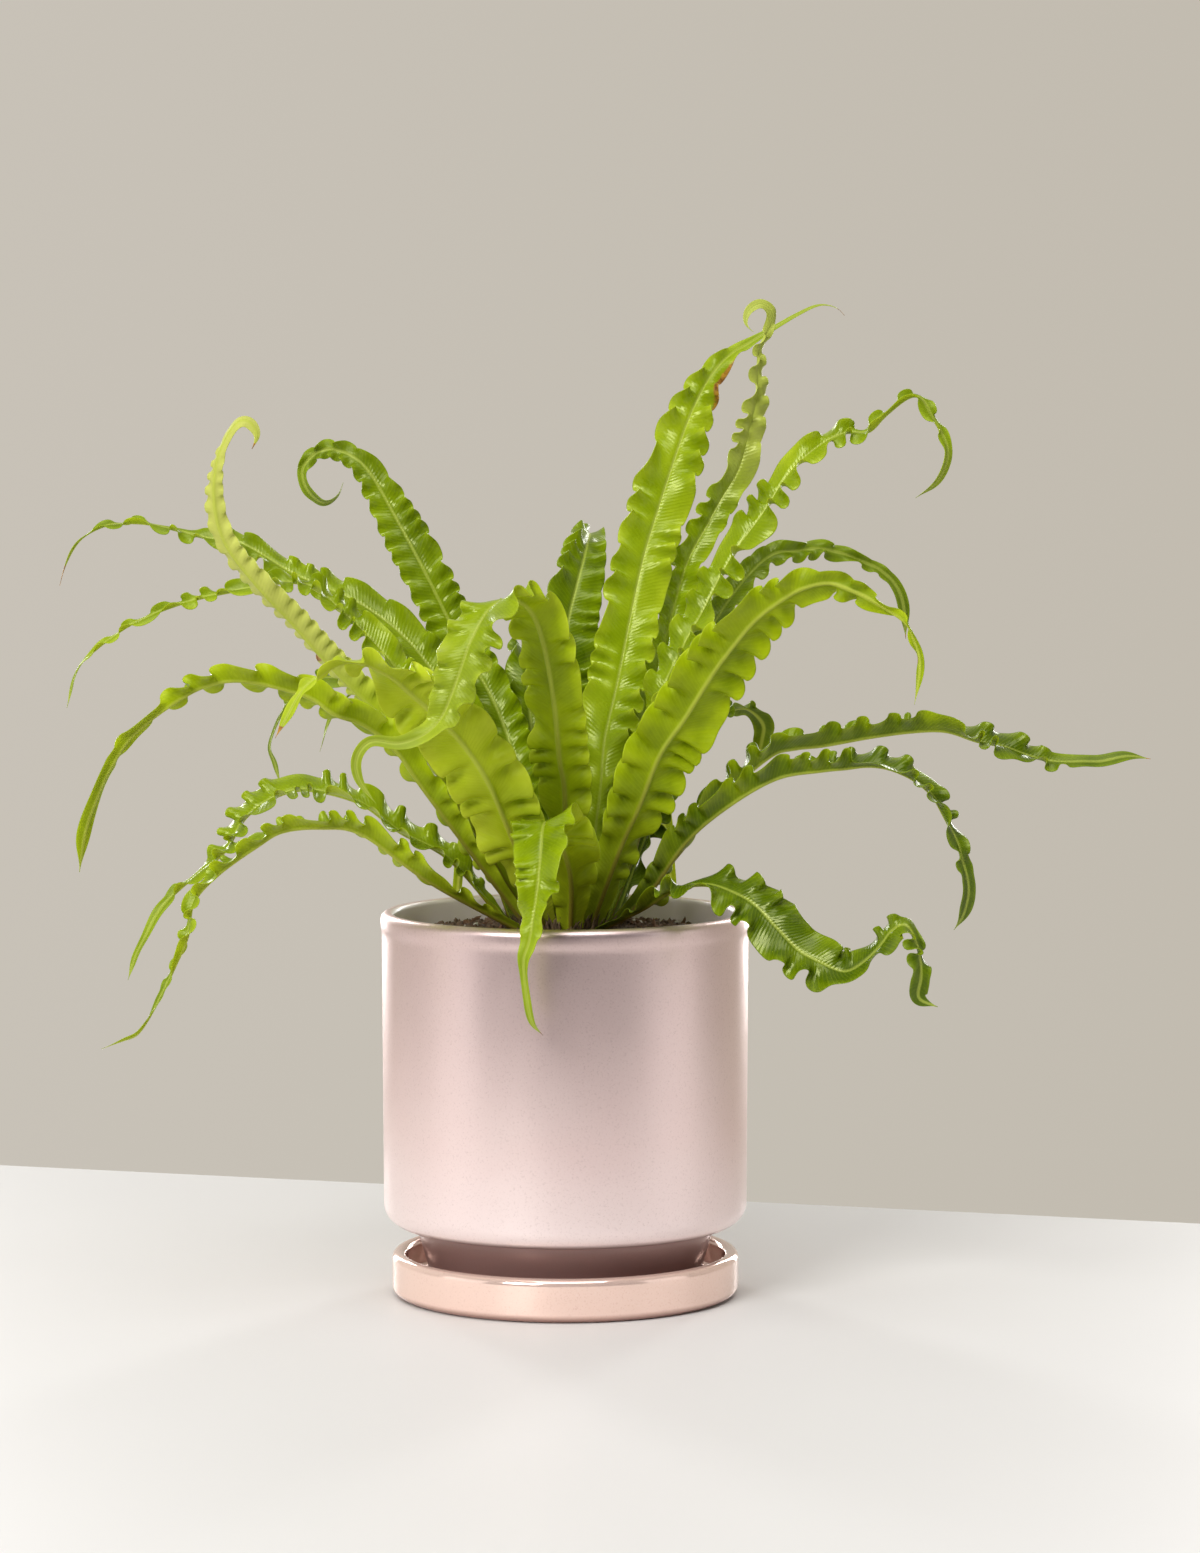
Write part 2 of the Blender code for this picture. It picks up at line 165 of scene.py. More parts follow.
def grid_faces(rows, columns, close_rows=False, close_columns=False):
    """Quads of a rows by columns grid of points, optionally joined end to end either way."""
    row = np.arange(rows if close_rows else rows - 1)
    column = np.arange(columns if close_columns else columns - 1)
    r, c = np.meshgrid(row, column, indexing="ij")
    after_r = (r + 1) % rows
    after_c = (c + 1) % columns
    corners = (r * columns + c, r * columns + after_c, after_r * columns + after_c, after_r * columns + c)
    return np.stack(corners, axis=-1).reshape(-1, 4)


def piece(name, points, faces, made, smooth=True):
    """An object at the origin from whole arrays of points and faces."""
    mesh = bpy.data.meshes.new(name)
    mesh.from_pydata(points.reshape(-1, 3).tolist(), [], faces.tolist())
    mesh.materials.append(made)
    mesh.validate()
    mesh.polygons.foreach_set("use_smooth", np.full(len(mesh.polygons), smooth))
    obj = bpy.data.objects.new(name, mesh)
    bpy.context.scene.collection.objects.link(obj)
    return obj


def arc(centre_r, centre_z, radius, start, end, steps=10):
    """Points of a circle's arc in the (radius, height) plane, from start to end in degrees."""
    angle = np.radians(np.linspace(start, end, steps + 1))
    return np.stack((centre_r + radius * np.cos(angle), centre_z + radius * np.sin(angle)), axis=1)


def along_outline(corners, longest):
    """The outline's points with extra ones on long straight runs, so that no run is longer than this."""
    spans = np.linalg.norm(np.diff(corners, axis=0), axis=1)
    pieces = np.maximum(1, np.ceil(spans / longest).astype(int))
    runs = [np.linspace(a, b, n, endpoint=False) for a, b, n in zip(corners[:-1], corners[1:], pieces)]
    return np.concatenate([*runs, corners[-1:]])


def turned(name, outline, made, around=192, closed=False, wobble=None):
    """A solid of revolution: x = r cos(angle), y = r sin(angle), z = height, on an outline-by-angle grid.

    An outline that starts or ends on the axis is closed there with a fan to one shared point.
    """
    angle = np.linspace(0.0, 2 * np.pi, around, endpoint=False)
    radius = outline[:, 0][:, None] * np.ones_like(angle)
    height = outline[:, 1][:, None] * np.ones_like(angle)
    if wobble is not None:
        radius, height = wobble(radius, height, angle[None, :])
    points = np.stack((radius * np.cos(angle), radius * np.sin(angle), height), axis=-1)
    start = 1 if outline[0, 0] < 1e-6 else 0
    stop = len(outline) - (1 if outline[-1, 0] < 1e-6 else 0)
    faces = grid_faces(stop - start, around, close_rows=closed, close_columns=True)[:, ::-1]
    flat = points[start:stop].reshape(-1, 3)
    fans = []
    ring = np.arange(around)
    after = (ring + 1) % around
    if start:
        fans.append(np.stack((np.full(around, len(flat)), after, ring), axis=1)[:, ::-1])
        flat = np.concatenate((flat, points[0, :1] * (0, 0, 1)))
    if stop < len(outline):
        base = (stop - start - 1) * around
        fans.append(np.stack((np.full(around, len(flat)), base + ring, base + after), axis=1)[:, ::-1])
        flat = np.concatenate((flat, points[-1, :1] * (0, 0, 1)))
    every = faces.tolist() + [row for fan in fans for row in fan.tolist()]
    mesh = bpy.data.meshes.new(name)
    mesh.from_pydata(flat.tolist(), [], every)
    mesh.materials.append(made)
    mesh.polygons.foreach_set("use_smooth", np.full(len(mesh.polygons), True))
    obj = bpy.data.objects.new(name, mesh)
    bpy.context.scene.collection.objects.link(obj)
    return obj


# ---------------------------------------------------------------- glazed pot and saucer


def lustre_glaze(name, body, deep, painted_low_reflection, speckle_and_foot_shade, rough, metal, foot_top, inner_radius):
    """Rose metallic lustre with kiln speckle, pinholes and cloudy drift.

    It is painted lighter near the bottom, a painted reflection of the bright table, and deeper near the rim,
    a painted reflection of the dark room in front. Below foot_top it darkens to the speckle brown, painted
    shade under the pot's body and along the saucer's inset base, and inside inner_radius it is a pale coat
    with no metal in it.
    """
    made, shader = material(name, roughness=rough, metallic=metal)
    w = Weave(made)
    place = w.place()
    split = w.add("ShaderNodeSeparateXYZ")
    w.join(place, split.inputs[0])
    drift = w.noise(place, 14.0, 3.0, 0.5)
    colour = w.mix(w.ramp(drift, [(0.3, 0.0), (0.7, 1.0)]), body, deep)
    height = w.maths("MULTIPLY", split.outputs[2], 1 / RIM)
    # painted reflection: the lower body is made lighter, standing in for the bright table it reflects
    colour = w.mix(w.ramp(height, [(0.10, 0.8), (0.45, 0.0)]), colour, painted_low_reflection)
    # painted reflection: towards the rim the colour darkens to a deeper copy of the drift colour, standing in
    # for the dark room in front that the upper body reflects
    colour = w.mix(w.ramp(height, [(0.35, 0.0), (0.95, 0.80)]), colour, tuple(0.83 * part for part in deep))
    speckle = w.noise(place, 1300.0, 3.0, 0.7)
    colour = w.mix(w.ramp(speckle, [(0.34, 0.16), (0.44, 0.0)]), colour, speckle_and_foot_shade)
    colour = w.mix(w.ramp(speckle, [(0.60, 0.0), (0.72, 0.25)]), colour, (1.0, 0.93, 0.90))
    radius = w.maths("MULTIPLY", split.outputs[0], split.outputs[0])
    radius = w.maths("MULTIPLY_ADD", split.outputs[1], split.outputs[1], radius)
    radius = w.maths("SQRT", radius)
    inside = w.maths("MULTIPLY", w.maths("SUBTRACT", inner_radius, radius), 900.0)
    inside = w.ramp(inside, [(0.0, 0.0), (1.0, 1.0)])
    over_foot = w.maths("SUBTRACT", split.outputs[2], foot_top)
    above = w.ramp(w.maths("MULTIPLY", over_foot, 500.0), [(0.0, 0.0), (1.0, 1.0)])
    inside = w.maths("MULTIPLY", inside, above)
    colour = w.mix(inside, colour, (1.0, 0.90, 0.93))
    # painted shade: below foot_top the colour darkens to the speckle brown, standing in for the shade under
    # the pot's body and along the saucer's inset base
    low = w.maths("SUBTRACT", 1.0, above)
    colour = w.mix(w.maths("MULTIPLY", low, 0.9), colour, speckle_and_foot_shade)
    w.join(colour, shader.inputs["Base Color"])
    sheen = w.maths("MULTIPLY_ADD", w.ramp(height, [(0.10, 0.0), (0.75, 1.0)]), 0.95 - metal, metal)
    w.join(w.maths("MULTIPLY", sheen, w.maths("SUBTRACT", 1.0, inside)), shader.inputs["Metallic"])
    haze = w.noise(w.stretch(place, (1, 1, 0.4)), 34.0, 5.0, 0.6)
    w.join(w.ramp(haze, [(0.25, rough - 0.03), (0.75, rough + 0.06)]), shader.inputs["Roughness"])
    ripple = w.noise(place, 60.0, 2.0, 0.5)
    w.join(w.bump(ripple, 0.0002, 0.25), shader.inputs["Normal"])
    shader.inputs["Coat Weight"].default_value = 0.2
    shader.inputs["Coat Roughness"].default_value = 0.1
    return made


def pot_outline():
    """Rim, outside, recessed foot, underside, drain and inside, as one closed loop of (radius, height)."""
    wall = 0.005
    lip = 0.003
    corner = 0.008
    foot_radius = 0.0565
    foot_tip = 0.051
    body_bottom = FOOT_BOTTOM + 0.0217
    inner = POT_RADIUS - wall
    floor = body_bottom + 0.006
    corners = np.concatenate(
        (
            arc(POT_RADIUS - lip, RIM - lip, lip, 90, 0),
            [[POT_RADIUS - 0.0001, RIM - 0.0055], [POT_RADIUS - 0.0003, RIM - 0.0068]],
            [[POT_RADIUS - 0.00045, RIM - 0.0080], [POT_RADIUS - 0.0005, RIM - 0.0095]],
            arc(POT_RADIUS - 0.001 - corner, body_bottom + corner, corner, 0, -80),
            arc(foot_radius + 0.002, body_bottom - 0.0005, 0.0015, 90, 180, 6),
            arc(foot_tip - 0.0015, FOOT_BOTTOM + 0.0015, 0.0015, 0, -90, 6),
            arc(foot_tip - 0.0055, FOOT_BOTTOM + 0.001, 0.001, -90, -180, 6),
            arc(foot_radius - 0.009, body_bottom - 0.003, 0.003, 0, 90, 6),
            arc(0.009, body_bottom + 0.001, 0.001, 270, 180, 4),
            arc(0.009, floor - 0.001, 0.001, 180, 90, 4),
            arc(inner - 0.006, floor + 0.006, 0.006, -90, 0),
            arc(inner + 0.002, RIM - 0.002, 0.002, 180, 90, 8),
        )
    )
    return along_outline(corners, 0.003)


def saucer_outline():
    """Floor, round wall and lip, and a slightly inset base, from axis to axis."""
    lip = 0.00275
    corners = np.concatenate(
        (
            [[0.0, 0.005]],
            arc(SAUCER_RADIUS - 0.0055 - 0.0025, 0.0075, 0.0025, -90, 0, 6),
            arc(SAUCER_RADIUS - lip, SAUCER_TOP - lip, lip, 180, 0, 14),
            arc(SAUCER_RADIUS - 0.0035, 0.0035, 0.0035, 0, -90, 8),
            [[0.0, 0.0]],
        )
    )
    return along_outline(corners, 0.003)


def build_pottery():
    # the dark kiln speckle colour, which is also the painted shade under the pot's body below foot_top
    pot_speckle_and_foot_shade = (0.26, 0.13, 0.11)
    body_bottom = FOOT_BOTTOM + 0.0222
    pink, rose = (1.0, 0.82, 0.79), (0.98, 0.76, 0.735)
    inner = POT_RADIUS - 0.0035
    # painted reflection: this lighter pink is painted onto the lower pot body for the bright table it
    # reflects
    painted_table_reflection = (1.0, 0.89, 0.88)
    pot_glaze = lustre_glaze("rose lustre glaze", pink, rose, painted_table_reflection, pot_speckle_and_foot_shade, 0.34, 0.30, body_bottom, inner)
    pot = turned("pot_body", pot_outline(), pot_glaze, closed=True)
    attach(pot, "root")
    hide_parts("pot")
    # painted shade: below the base edge height the saucer darkens to copper, a painted shadow along its inset
    # base; copper is also its dark kiln speckle
    copper = (0.40, 0.22, 0.18)
    warm, peach = (1.0, 0.75, 0.65), (1.0, 0.69, 0.59)
    base_shade_top, no_inside = 0.0012, -1.0
    saucer_glaze = lustre_glaze(
        "copper lustre glaze", warm, peach, warm, copper, 0.09, 0.45, base_shade_top, no_inside
    )
    saucer = turned("saucer_dish", saucer_outline(), saucer_glaze)
    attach(saucer, "root")
    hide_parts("saucer")


# ---------------------------------------------------------------- soil and crown


def soil_material():
    made, shader = material("potting soil", roughness=0.95)
    w = Weave(made)
    place = w.place()
    lumps = w.noise(place, 260.0, 6.0, 0.65)
    wet, damp, dry = (0.035, 0.021, 0.014), (0.10, 0.062, 0.040), (0.20, 0.13, 0.08)
    colour = w.ramp(lumps, [(0.3, wet), (0.55, damp), (0.75, dry)])
    bits = w.cells(place, 700.0)
    colour = w.mix(w.ramp(bits, [(0.10, 0.5), (0.22, 0.0)]), colour, (0.20, 0.14, 0.09))
    w.join(colour, shader.inputs["Base Color"])
    w.join(w.bump(lumps, 0.0012, 0.9), shader.inputs["Normal"])
    return made


def soil_surface(radius, angle):
    """Height of the soil: a mound that falls towards the wall, with lumps of several sizes."""
    share = np.clip((radius - CROWN_RADIUS) / (POT_RADIUS - 0.005 - CROWN_RADIUS), 0, 1)
    lump = np.sin(3 * angle + radius * 160) * np.sin(radius * 420 + 2 * angle)
    crumb = np.sin(11 * angle + 900 * radius) * np.sin(17 * angle - 1300 * radius)
    return RIM - 0.010 + 0.004 * (1 - share) + 0.0006 * lump + 0.0005 * crumb


def build_soil():
    inner = POT_RADIUS - 0.0053
    rings = 60
    outline = np.concatenate(
        (
            np.stack((np.linspace(0.0, inner, rings), np.full(rings, RIM)), axis=1),
            [[inner, RIM - 0.02]],
            arc(inner - 0.006, soil_low[2] + 0.006, 0.006, 0, -90, 5),
            [[0.0, soil_low[2]]],
        )
    )

    def wobble(radius, height, angle):
        top = np.arange(len(outline))[:, None] < rings
        return radius, np.where(top, soil_surface(radius, angle), height)

    soil = turned("soil_mound", outline, soil_material(), around=240, wobble=wobble)
    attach(soil, "root")
    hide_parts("soil")


# ---------------------------------------------------------------- fronds

TIP_FOLD = 9.0
BASE_SHARE = 0.38
FULL_SHARE = 0.28
TAPER_END = 0.90
RIM_CLEARANCE = 0.004
BLADE_THICKNESS = 0.0005
ALONG = 480
ACROSS = np.array([0.0, 0.03, 0.07, 0.12, 0.19, 0.28, 0.38, 0.48, 0.58, 0.67, 0.76, 0.84, 0.91, 0.96, 1.0])

# name: (widest blade, share of the length where it starts to narrow, tip width, fold in degrees),
# (roll at the foot, the middle and the tip in degrees), (x, y) of the foot on the crown,
# then the points that the midrib passes, from the foot to the tip
FRONDS = {
    "frond_left_curl": ((18, 0.6, 5, 10), (0, -20, -40), (-4, 14), [
        (-23, 37, 66), (-42, 48, 102), (-54, 52, 126), (-66, 58, 148), (-76, 62, 165), (-84, 65, 172),
        (-94, 68, 174), (-102, 70, 168), (-102, 71, 161), (-99, 72, 156), (-94, 73, 153), (-89, 75, 156),
        (-87, 76, 161)]),
    "frond_left_pale": ((15, 0.55, 6, 28), (20, 45, 40), (-13, -2), [
        (-50, -25, 58), (-72, -35, 80), (-89, -42, 98), (-101, -46, 112), (-112, -50, 124),
        (-124, -52, 140), (-128, -53, 155), (-127, -54, 170), (-123, -54, 180), (-119, -55, 185),
        (-115, -55, 185), (-112, -56, 180), (-114, -57, 175)]),
    "frond_left_back_long": ((19, 0.35, 5, 14), (0, -30, -20), (-14, 9), [
        (-34, 20, 60), (-55, 29, 95), (-77, 36, 114), (-104, 43, 126), (-125, 48, 138), (-139, 52, 140),
        (-160, 56, 145), (-176, 60, 145), (-186, 61, 141), (-191, 62, 136), (-195, 62, 128),
        (-197, 62, 121)]),
    "frond_left_long": ((15, 0.35, 4, 20), (-20, -35, -30), (-20, 4), [
        (-42, -3, 58), (-64, 2, 92), (-83, 8, 112), (-100, 11, 124), (-125, 14, 121), (-146, 15, 116),
        (-165, 16, 108), (-180, 17, 97), (-186, 18, 90), (-190, 18, 76)]),
    "frond_left_spear": ((15, 0.5, 7, 34), (15, 30, 50), (-15, -9), [
        (-50, -35, 46), (-62, -45, 64), (-73, -54, 74), (-84, -66, 79), (-92, -70, 85), (-107, -76, 90),
        (-119, -81, 92), (-130, -84, 90), (-141, -88, 84), (-155, -92, 73), (-163, -94, 61),
        (-168, -95, 50), (-172, -96, 38), (-174, -96, 24)]),
    "frond_front_left_broad": ((27, 0.5, 5, 9), (20, 40, -20), (-8, -15), [
        (-14, -29, 16), (-21, -44, 35), (-28, -57, 53), (-36, -64, 66), (-44, -74, 76), (-54, -84, 86),
        (-64, -94, 95), (-76, -104, 100), (-86, -112, 96), (-93, -117, 90), (-98, -121, 81),
        (-102, -124, 74)]),
    "frond_back_left_hanging": ((16, 0.4, 4, 12), (0, 0, 0), (-10, 19), [
        (-40, 62, 50), (-70, 78, 76), (-92, 84, 84), (-106, 87, 79), (-112, 88, 70), (-117, 88, 57),
        (-115, 88, 50), (-113, 88, 41)]),
    "frond_back_left_small": ((12, 0.35, 3, 12), (0, 0, 0), (-18, 12), [
        (-34, 42, 38), (-56, 55, 70), (-76, 60, 82), (-90, 62, 72), (-96, 63, 56)]),
    "frond_low_left_upper": ((18, 0.5, 4, 22), (-15, -35, -40), (-21, -6), [
        (-43, -6, 20), (-62, -8, 31), (-77, -9, 42), (-96, -10, 47), (-108, -12, 45), (-120, -14, 37),
        (-128, -15, 24), (-138, -16, 16), (-148, -18, 7), (-153, -19, 1), (-157, -20, -7),
        (-161, -20, -15), (-164, -20, -24)]),
    "frond_low_left_lower": ((15, 0.4, 4, 30), (0, 10, 0), (-18, -13), [
        (-50, -30, 14), (-75, -40, 33), (-90, -46, 36), (-104, -51, 35), (-113, -55, 30), (-127, -59, 20),
        (-136, -62, 10), (-138, -64, -2), (-142, -66, -12), (-148, -68, -25), (-155, -70, -37),
        (-161, -71, -40), (-169, -72, -43)]),
    "frond_centre_fold": ((22, 0.64, 4, 9), (0, -20, -90), (-1, -7), [
        (0, -26, 44), (-2, -34, 60), (-4, -44, 82), (-8, -54, 105), (-13, -62, 117), (-20, -70, 121),
        (-27, -79, 118), (-34, -88, 106), (-39, -95, 92), (-44, -101, 80), (-50, -105, 74),
        (-59, -108, 71), (-69, -110, 72), (-74, -112, 66), (-73, -113, 58), (-67, -113, 50)]),
    "frond_back_dark": ((20, 0.4, 5, 12), (0, 0, 0), (-3, 19), [
        (-10, 34, 40), (-14, 50, 76), (-15, 58, 90), (-17, 74, 97), (-19, 96, 88), (-21, 112, 68)]),
    "frond_centre_short": ((24, 0.5, 9, 12), (0, 0, 0), (-2, 4), [
        (0, 18, 56), (-1, 27, 86), (1, 34, 107), (4, 40, 120), (7, 48, 131), (9, 60, 139), (10, 76, 141),
        (11, 94, 133), (12, 106, 120)]),
    "frond_tall_centre": ((23, 0.6, 2.5, 12), (40, 75, 50), (7, 2), [
        (13, 4, 42), (15, 9, 64), (20, 15, 86), (29, 26, 129), (36, 34, 152), (43, 40, 173),
        (49, 45, 189), (56, 50, 202), (63, 54, 210), (71, 58, 215), (83, 62, 222), (90, 64, 226),
        (99, 66, 230), (106, 67, 229), (109, 67, 226)]),
    "frond_tall_twist": ((13, 0.7, 4, 24), (30, 60, 90), (12, 11), [
        (31, 25, 71), (40, 31, 107), (47, 35, 131), (54, 37, 144), (60, 38, 155), (67, 38, 167),
        (71, 38, 182), (74, 37, 195), (74, 36, 205), (75, 35, 214), (79, 34, 222), (79, 33, 227),
        (75, 32, 230), (70, 31, 227), (69, 30, 222), (72, 29, 219)]),
    "frond_front_right_broad": ((26, 0.45, 4, 9), (-20, -35, -30), (10, -13), [
        (21, -22, 27), (27, -29, 41), (35, -38, 62), (44, -46, 76), (54, -55, 93), (61, -60, 103),
        (69, -66, 113), (79, -72, 121), (86, -76, 125), (95, -80, 127), (104, -84, 124), (112, -87, 120),
        (122, -91, 113), (125, -93, 107), (127, -95, 98), (125, -96, 84)]),
    "frond_right_ruffled": ((17, 0.5, 5, 18), (20, 55, 60), (16, -3), [
        (28, -4, 31), (36, -5, 80), (45, 0, 101), (52, 6, 113), (58, 8, 125), (65, 9, 137), (74, 10, 149),
        (83, 11, 163), (89, 12, 170), (98, 12, 177), (107, 12, 181), (115, 12, 181), (121, 12, 187),
        (130, 12, 194), (135, 12, 194), (139, 12, 187), (144, 12, 178), (145, 12, 171), (141, 12, 162),
        (133, 12, 156)]),
    "frond_back_right_arch": ((19, 0.35, 5, 14), (0, 15, 40), (10, 18), [
        (24, 40, 50), (44, 54, 80), (52, 57, 96), (64, 65, 115), (73, 70, 126), (82, 75, 133),
        (91, 79, 134), (100, 82, 135), (109, 84, 133), (117, 86, 130), (125, 87, 126), (131, 88, 120),
        (134, 88, 112), (135, 88, 99)]),
    "frond_back_right_short": ((18, 0.4, 8, 12), (0, 0, 0), (19, 11), [
        (42, 42, 52), (56, 58, 68), (65, 68, 72), (72, 74, 72), (78, 79, 66), (78, 81, 60), (76, 82, 52)]),
    "frond_far_right": ((18, 0.72, 6, 38), (-25, 0, 60), (20, 2), [
        (44, 12, 22), (59, 18, 41), (78, 24, 57), (88, 27, 60), (99, 29, 61), (117, 31, 64), (134, 33, 66),
        (147, 34, 66), (159, 35, 62), (169, 35, 60), (180, 35, 56), (190, 35, 54), (200, 35, 54),
        (207, 35, 54), (217, 35, 56), (226, 35, 55)]),
    "frond_right_droop": ((18, 0.55, 7, 38), (-25, -5, 50), (19, -8), [
        (32, -14, 9), (46, -19, 29), (62, -25, 43), (79, -30, 53), (95, -34, 56), (104, -36, 57),
        (112, -38, 58), (120, -39, 57), (129, -40, 53), (136, -41, 47), (140, -42, 40), (145, -42, 30),
        (147, -42, 23), (149, -42, 15), (149, -42, 9), (147, -42, 2), (144, -42, -3)]),
    "frond_right_over_rim": ((21, 0.5, 8, 9), (10, 50, 40), (13, -17), [
        (29, -28, 4), (37, -35, 10), (45, -43, 14), (53, -50, 15), (61, -57, 13), (69, -63, 9),
        (77, -68, 1), (85, -72, -7), (93, -76, -11), (101, -79, -14), (107, -82, -11), (113, -85, -5),
        (118, -88, 2), (123, -90, 4), (127, -92, -4), (128, -93, -14), (127, -94, -22), (134, -95, -25)]),
    "frond_front_fold": ((26, 0.4, 3, 9), (0, 0, 0), (2, -21), [
        (2, -33, 16), (-2, -48, 31), (-6, -60, 39), (-8, -72, 38), (-9, -81, 27), (-11, -86, 10),
        (-13, -88, -2), (-15, -89, -9), (-14, -89, -21), (-12, -89, -31), (-8, -89, -36)]),
    "frond_back_centre": ((18, 0.4, 5, 12), (0, 0, 0), (6, 16), [
        (10, 36, 56), (14, 50, 84), (17, 68, 95), (21, 90, 88), (25, 108, 70)]),
    "frond_back_low_left": ((18, 0.4, 5, 14), (0, 0, 0), (-4, 23), [
        (-8, 50, 30), (-20, 88, 46), (-34, 122, 38), (-42, 144, 10), (-45, 152, -16)]),
    "frond_back_low_right": ((18, 0.4, 5, 14), (0, 0, 0), (4, 23), [
        (14, 50, 32), (26, 88, 48), (36, 122, 38), (42, 144, 10), (44, 152, -18)]),
}

# frond: ruffle height and wave length in mm, tone from dark 0 to pale 1 (partly the frond's own green, partly
# painted shade: the back fronds and the right-hand ones, away from the key light, are set darkest), length of
# brown tip in mm, share of the length that ends the blade without ruffles
HABIT = {
    "frond_left_curl": (2.5, 7.5, 0.27, 0, 0.04),
    "frond_left_pale": (0.96, 5.9, 0.66, 3, 0.06),
    "frond_left_back_long": (3.6, 12.7, 0.36, 10, 0.06),
    "frond_left_long": (3.68, 11.6, 0.48, 0, 0.05),
    "frond_left_spear": (3.52, 13.8, 0.38, 0, 0.14),
    "frond_front_left_broad": (4.32, 13.8, 0.72, 6, 0.06),
    "frond_back_left_hanging": (3.0, 12.0, 0.2, 0, 0.12),
    "frond_back_left_small": (2.2, 11.0, 0.35, 0, 0.2),
    "frond_low_left_upper": (3.08, 11.6, 0.4, 0, 0.12),
    "frond_low_left_lower": (2.86, 11.0, 0.36, 0, 0.12),
    "frond_centre_fold": (3.22, 12.1, 0.44, 0, 0.14),
    "frond_back_dark": (2.8, 12.0, 0.08, 0, 0.1),
    "frond_centre_short": (2.8, 9.5, 0.12, 0, 0.02),
    "frond_tall_centre": (3.78, 12.1, 0.54, 5, 0.14),
    "frond_tall_twist": (2.3, 10.5, 0.4, 0, 0.04),
    "frond_front_right_broad": (4.39, 11.8, 0.31, 0, 0.04),
    "frond_right_ruffled": (4.4, 14.0, 0.46, 0, 0.06),
    "frond_back_right_arch": (2.53, 8.9, 0.22, 2, 0.08),
    "frond_back_right_short": (3.2, 11.5, 0.02, 0, 0.02),
    "frond_far_right": (3.6, 14.4, 0.12, 2, 0.1),
    "frond_right_droop": (2.99, 10.5, 0.04, 0, 0.08),
    "frond_right_over_rim": (3.84, 14.4, 0.04, 0, 0.04),
    "frond_front_fold": (3.08, 12.6, 0.4, 2, 0.2),
    "frond_back_centre": (2.8, 12.0, 0.2, 0, 0.1),
    "frond_back_low_left": (3.0, 12.5, 0.3, 0, 0.12),
    "frond_back_low_right": (3.0, 12.5, 0.3, 6, 0.12),
}

# frond: patches of rust, each (side, share of the length, size across the blade, length in mm)
RUST = {
    "frond_tall_centre": [(1.0, 0.77, 0.5, 15.0)],
    "frond_front_right_broad": [(-0.9, 0.93, 0.8, 2.2)],
    "frond_left_pale": [(0.8, 0.53, 0.9, 3.0)],
}


# frond: share of the length where its yellow youth starts, where it is full, and how yellow
YOUTH = {
    "frond_left_pale": (0.40, 0.55, 1.0),
    "frond_tall_twist": (0.60, 0.75, 0.6),
    "frond_centre_fold": (0.60, 0.75, 0.15),
}


def smooth_step(low, high, value):
    share = np.clip((value - low) / (high - low), 0.0, 1.0)
    return share * share * (3 - 2 * share)


def blade_width(blade, share):
    """Blade width in metres: narrow at the foot, full at FULL_SHARE, then narrowing to the tip's width."""
    widest, narrows_from, tip, _ = blade
    opening = BASE_SHARE + (1 - BASE_SHARE) * smooth_step(0.0, FULL_SHARE, share)
    taper = 1 - (1 - tip / widest) * smooth_step(narrows_from, TAPER_END, share)
    return widest * MM * opening * taper


def fold_at(blade, share):
    """How far each half of the blade rises from flat, in radians, easing to the shallow fold of the tip."""
    folded = blade[3]
    return np.radians(folded + (TIP_FOLD - folded) * smooth_step(0.5, 1.0, share))


def crown_surface(radius):
    """Height of the crown's dome at this distance from the axis."""
    return RIM - 0.003 - 0.004 * (radius / CROWN_RADIUS) ** 2


def midrib_points(foot, drawn):
    """The foot on the crown, then the drawn points, kept clear of the pot's wall where they hang."""
    points = np.array([(*foot, 0.0), *drawn]) * MM
    points[:, 2] += RIM
    points[0, 2] = crown_surface(np.hypot(*points[0, :2])) + 0.0009
    distance = np.hypot(points[:, 0], points[:, 1])
    nearest = POT_RADIUS + RIM_CLEARANCE
    hangs = (points[:, 2] <= RIM + RIM_CLEARANCE) & (distance >= POT_RADIUS - 0.005) & (distance <= nearest)
    points[hangs, :2] *= (nearest / distance[hangs])[:, None]
    return points


def through_points(points, fine=24):
    """The Catmull-Rom curve through the points, cut into even steps of its length."""
    ends = np.concatenate((2 * points[:1] - points[1:2], points, 2 * points[-1:] - points[-2:-1]))
    before, start, end, after = (ends[i : len(ends) - 3 + i, None, :] for i in range(4))
    t = np.linspace(0, 1, fine, endpoint=False)[None, :, None]
    bend = 2 * before - 5 * start + 4 * end - after
    swing = 3 * start - before - 3 * end + after
    line = 0.5 * (2 * start + (end - before) * t + bend * t**2 + swing * t**3)
    line = np.concatenate((line.reshape(-1, 3), points[-1:]))
    length = np.concatenate(([0.0], np.cumsum(np.linalg.norm(np.diff(line, axis=0), axis=1))))
    wanted = np.linspace(0, length[-1], ALONG)
    return np.stack([np.interp(wanted, length, line[:, k]) for k in range(3)], axis=1), length[-1]


def unit(vectors):
    return vectors / np.maximum(np.linalg.norm(vectors, axis=-1, keepdims=True), 1e-9)


def rounded(path, reach=7):
    """The path with its small kinks averaged out by a short window, ends kept."""
    window = np.hanning(2 * reach + 1)
    window /= window.sum()
    before = 2 * path[:1] - path[reach:0:-1]
    after = 2 * path[-1:] - path[-2 : -reach - 2 : -1]
    padded = np.concatenate((before, path, after))
    return np.stack([np.convolve(padded[:, k], window, mode="valid") for k in range(3)], axis=1)


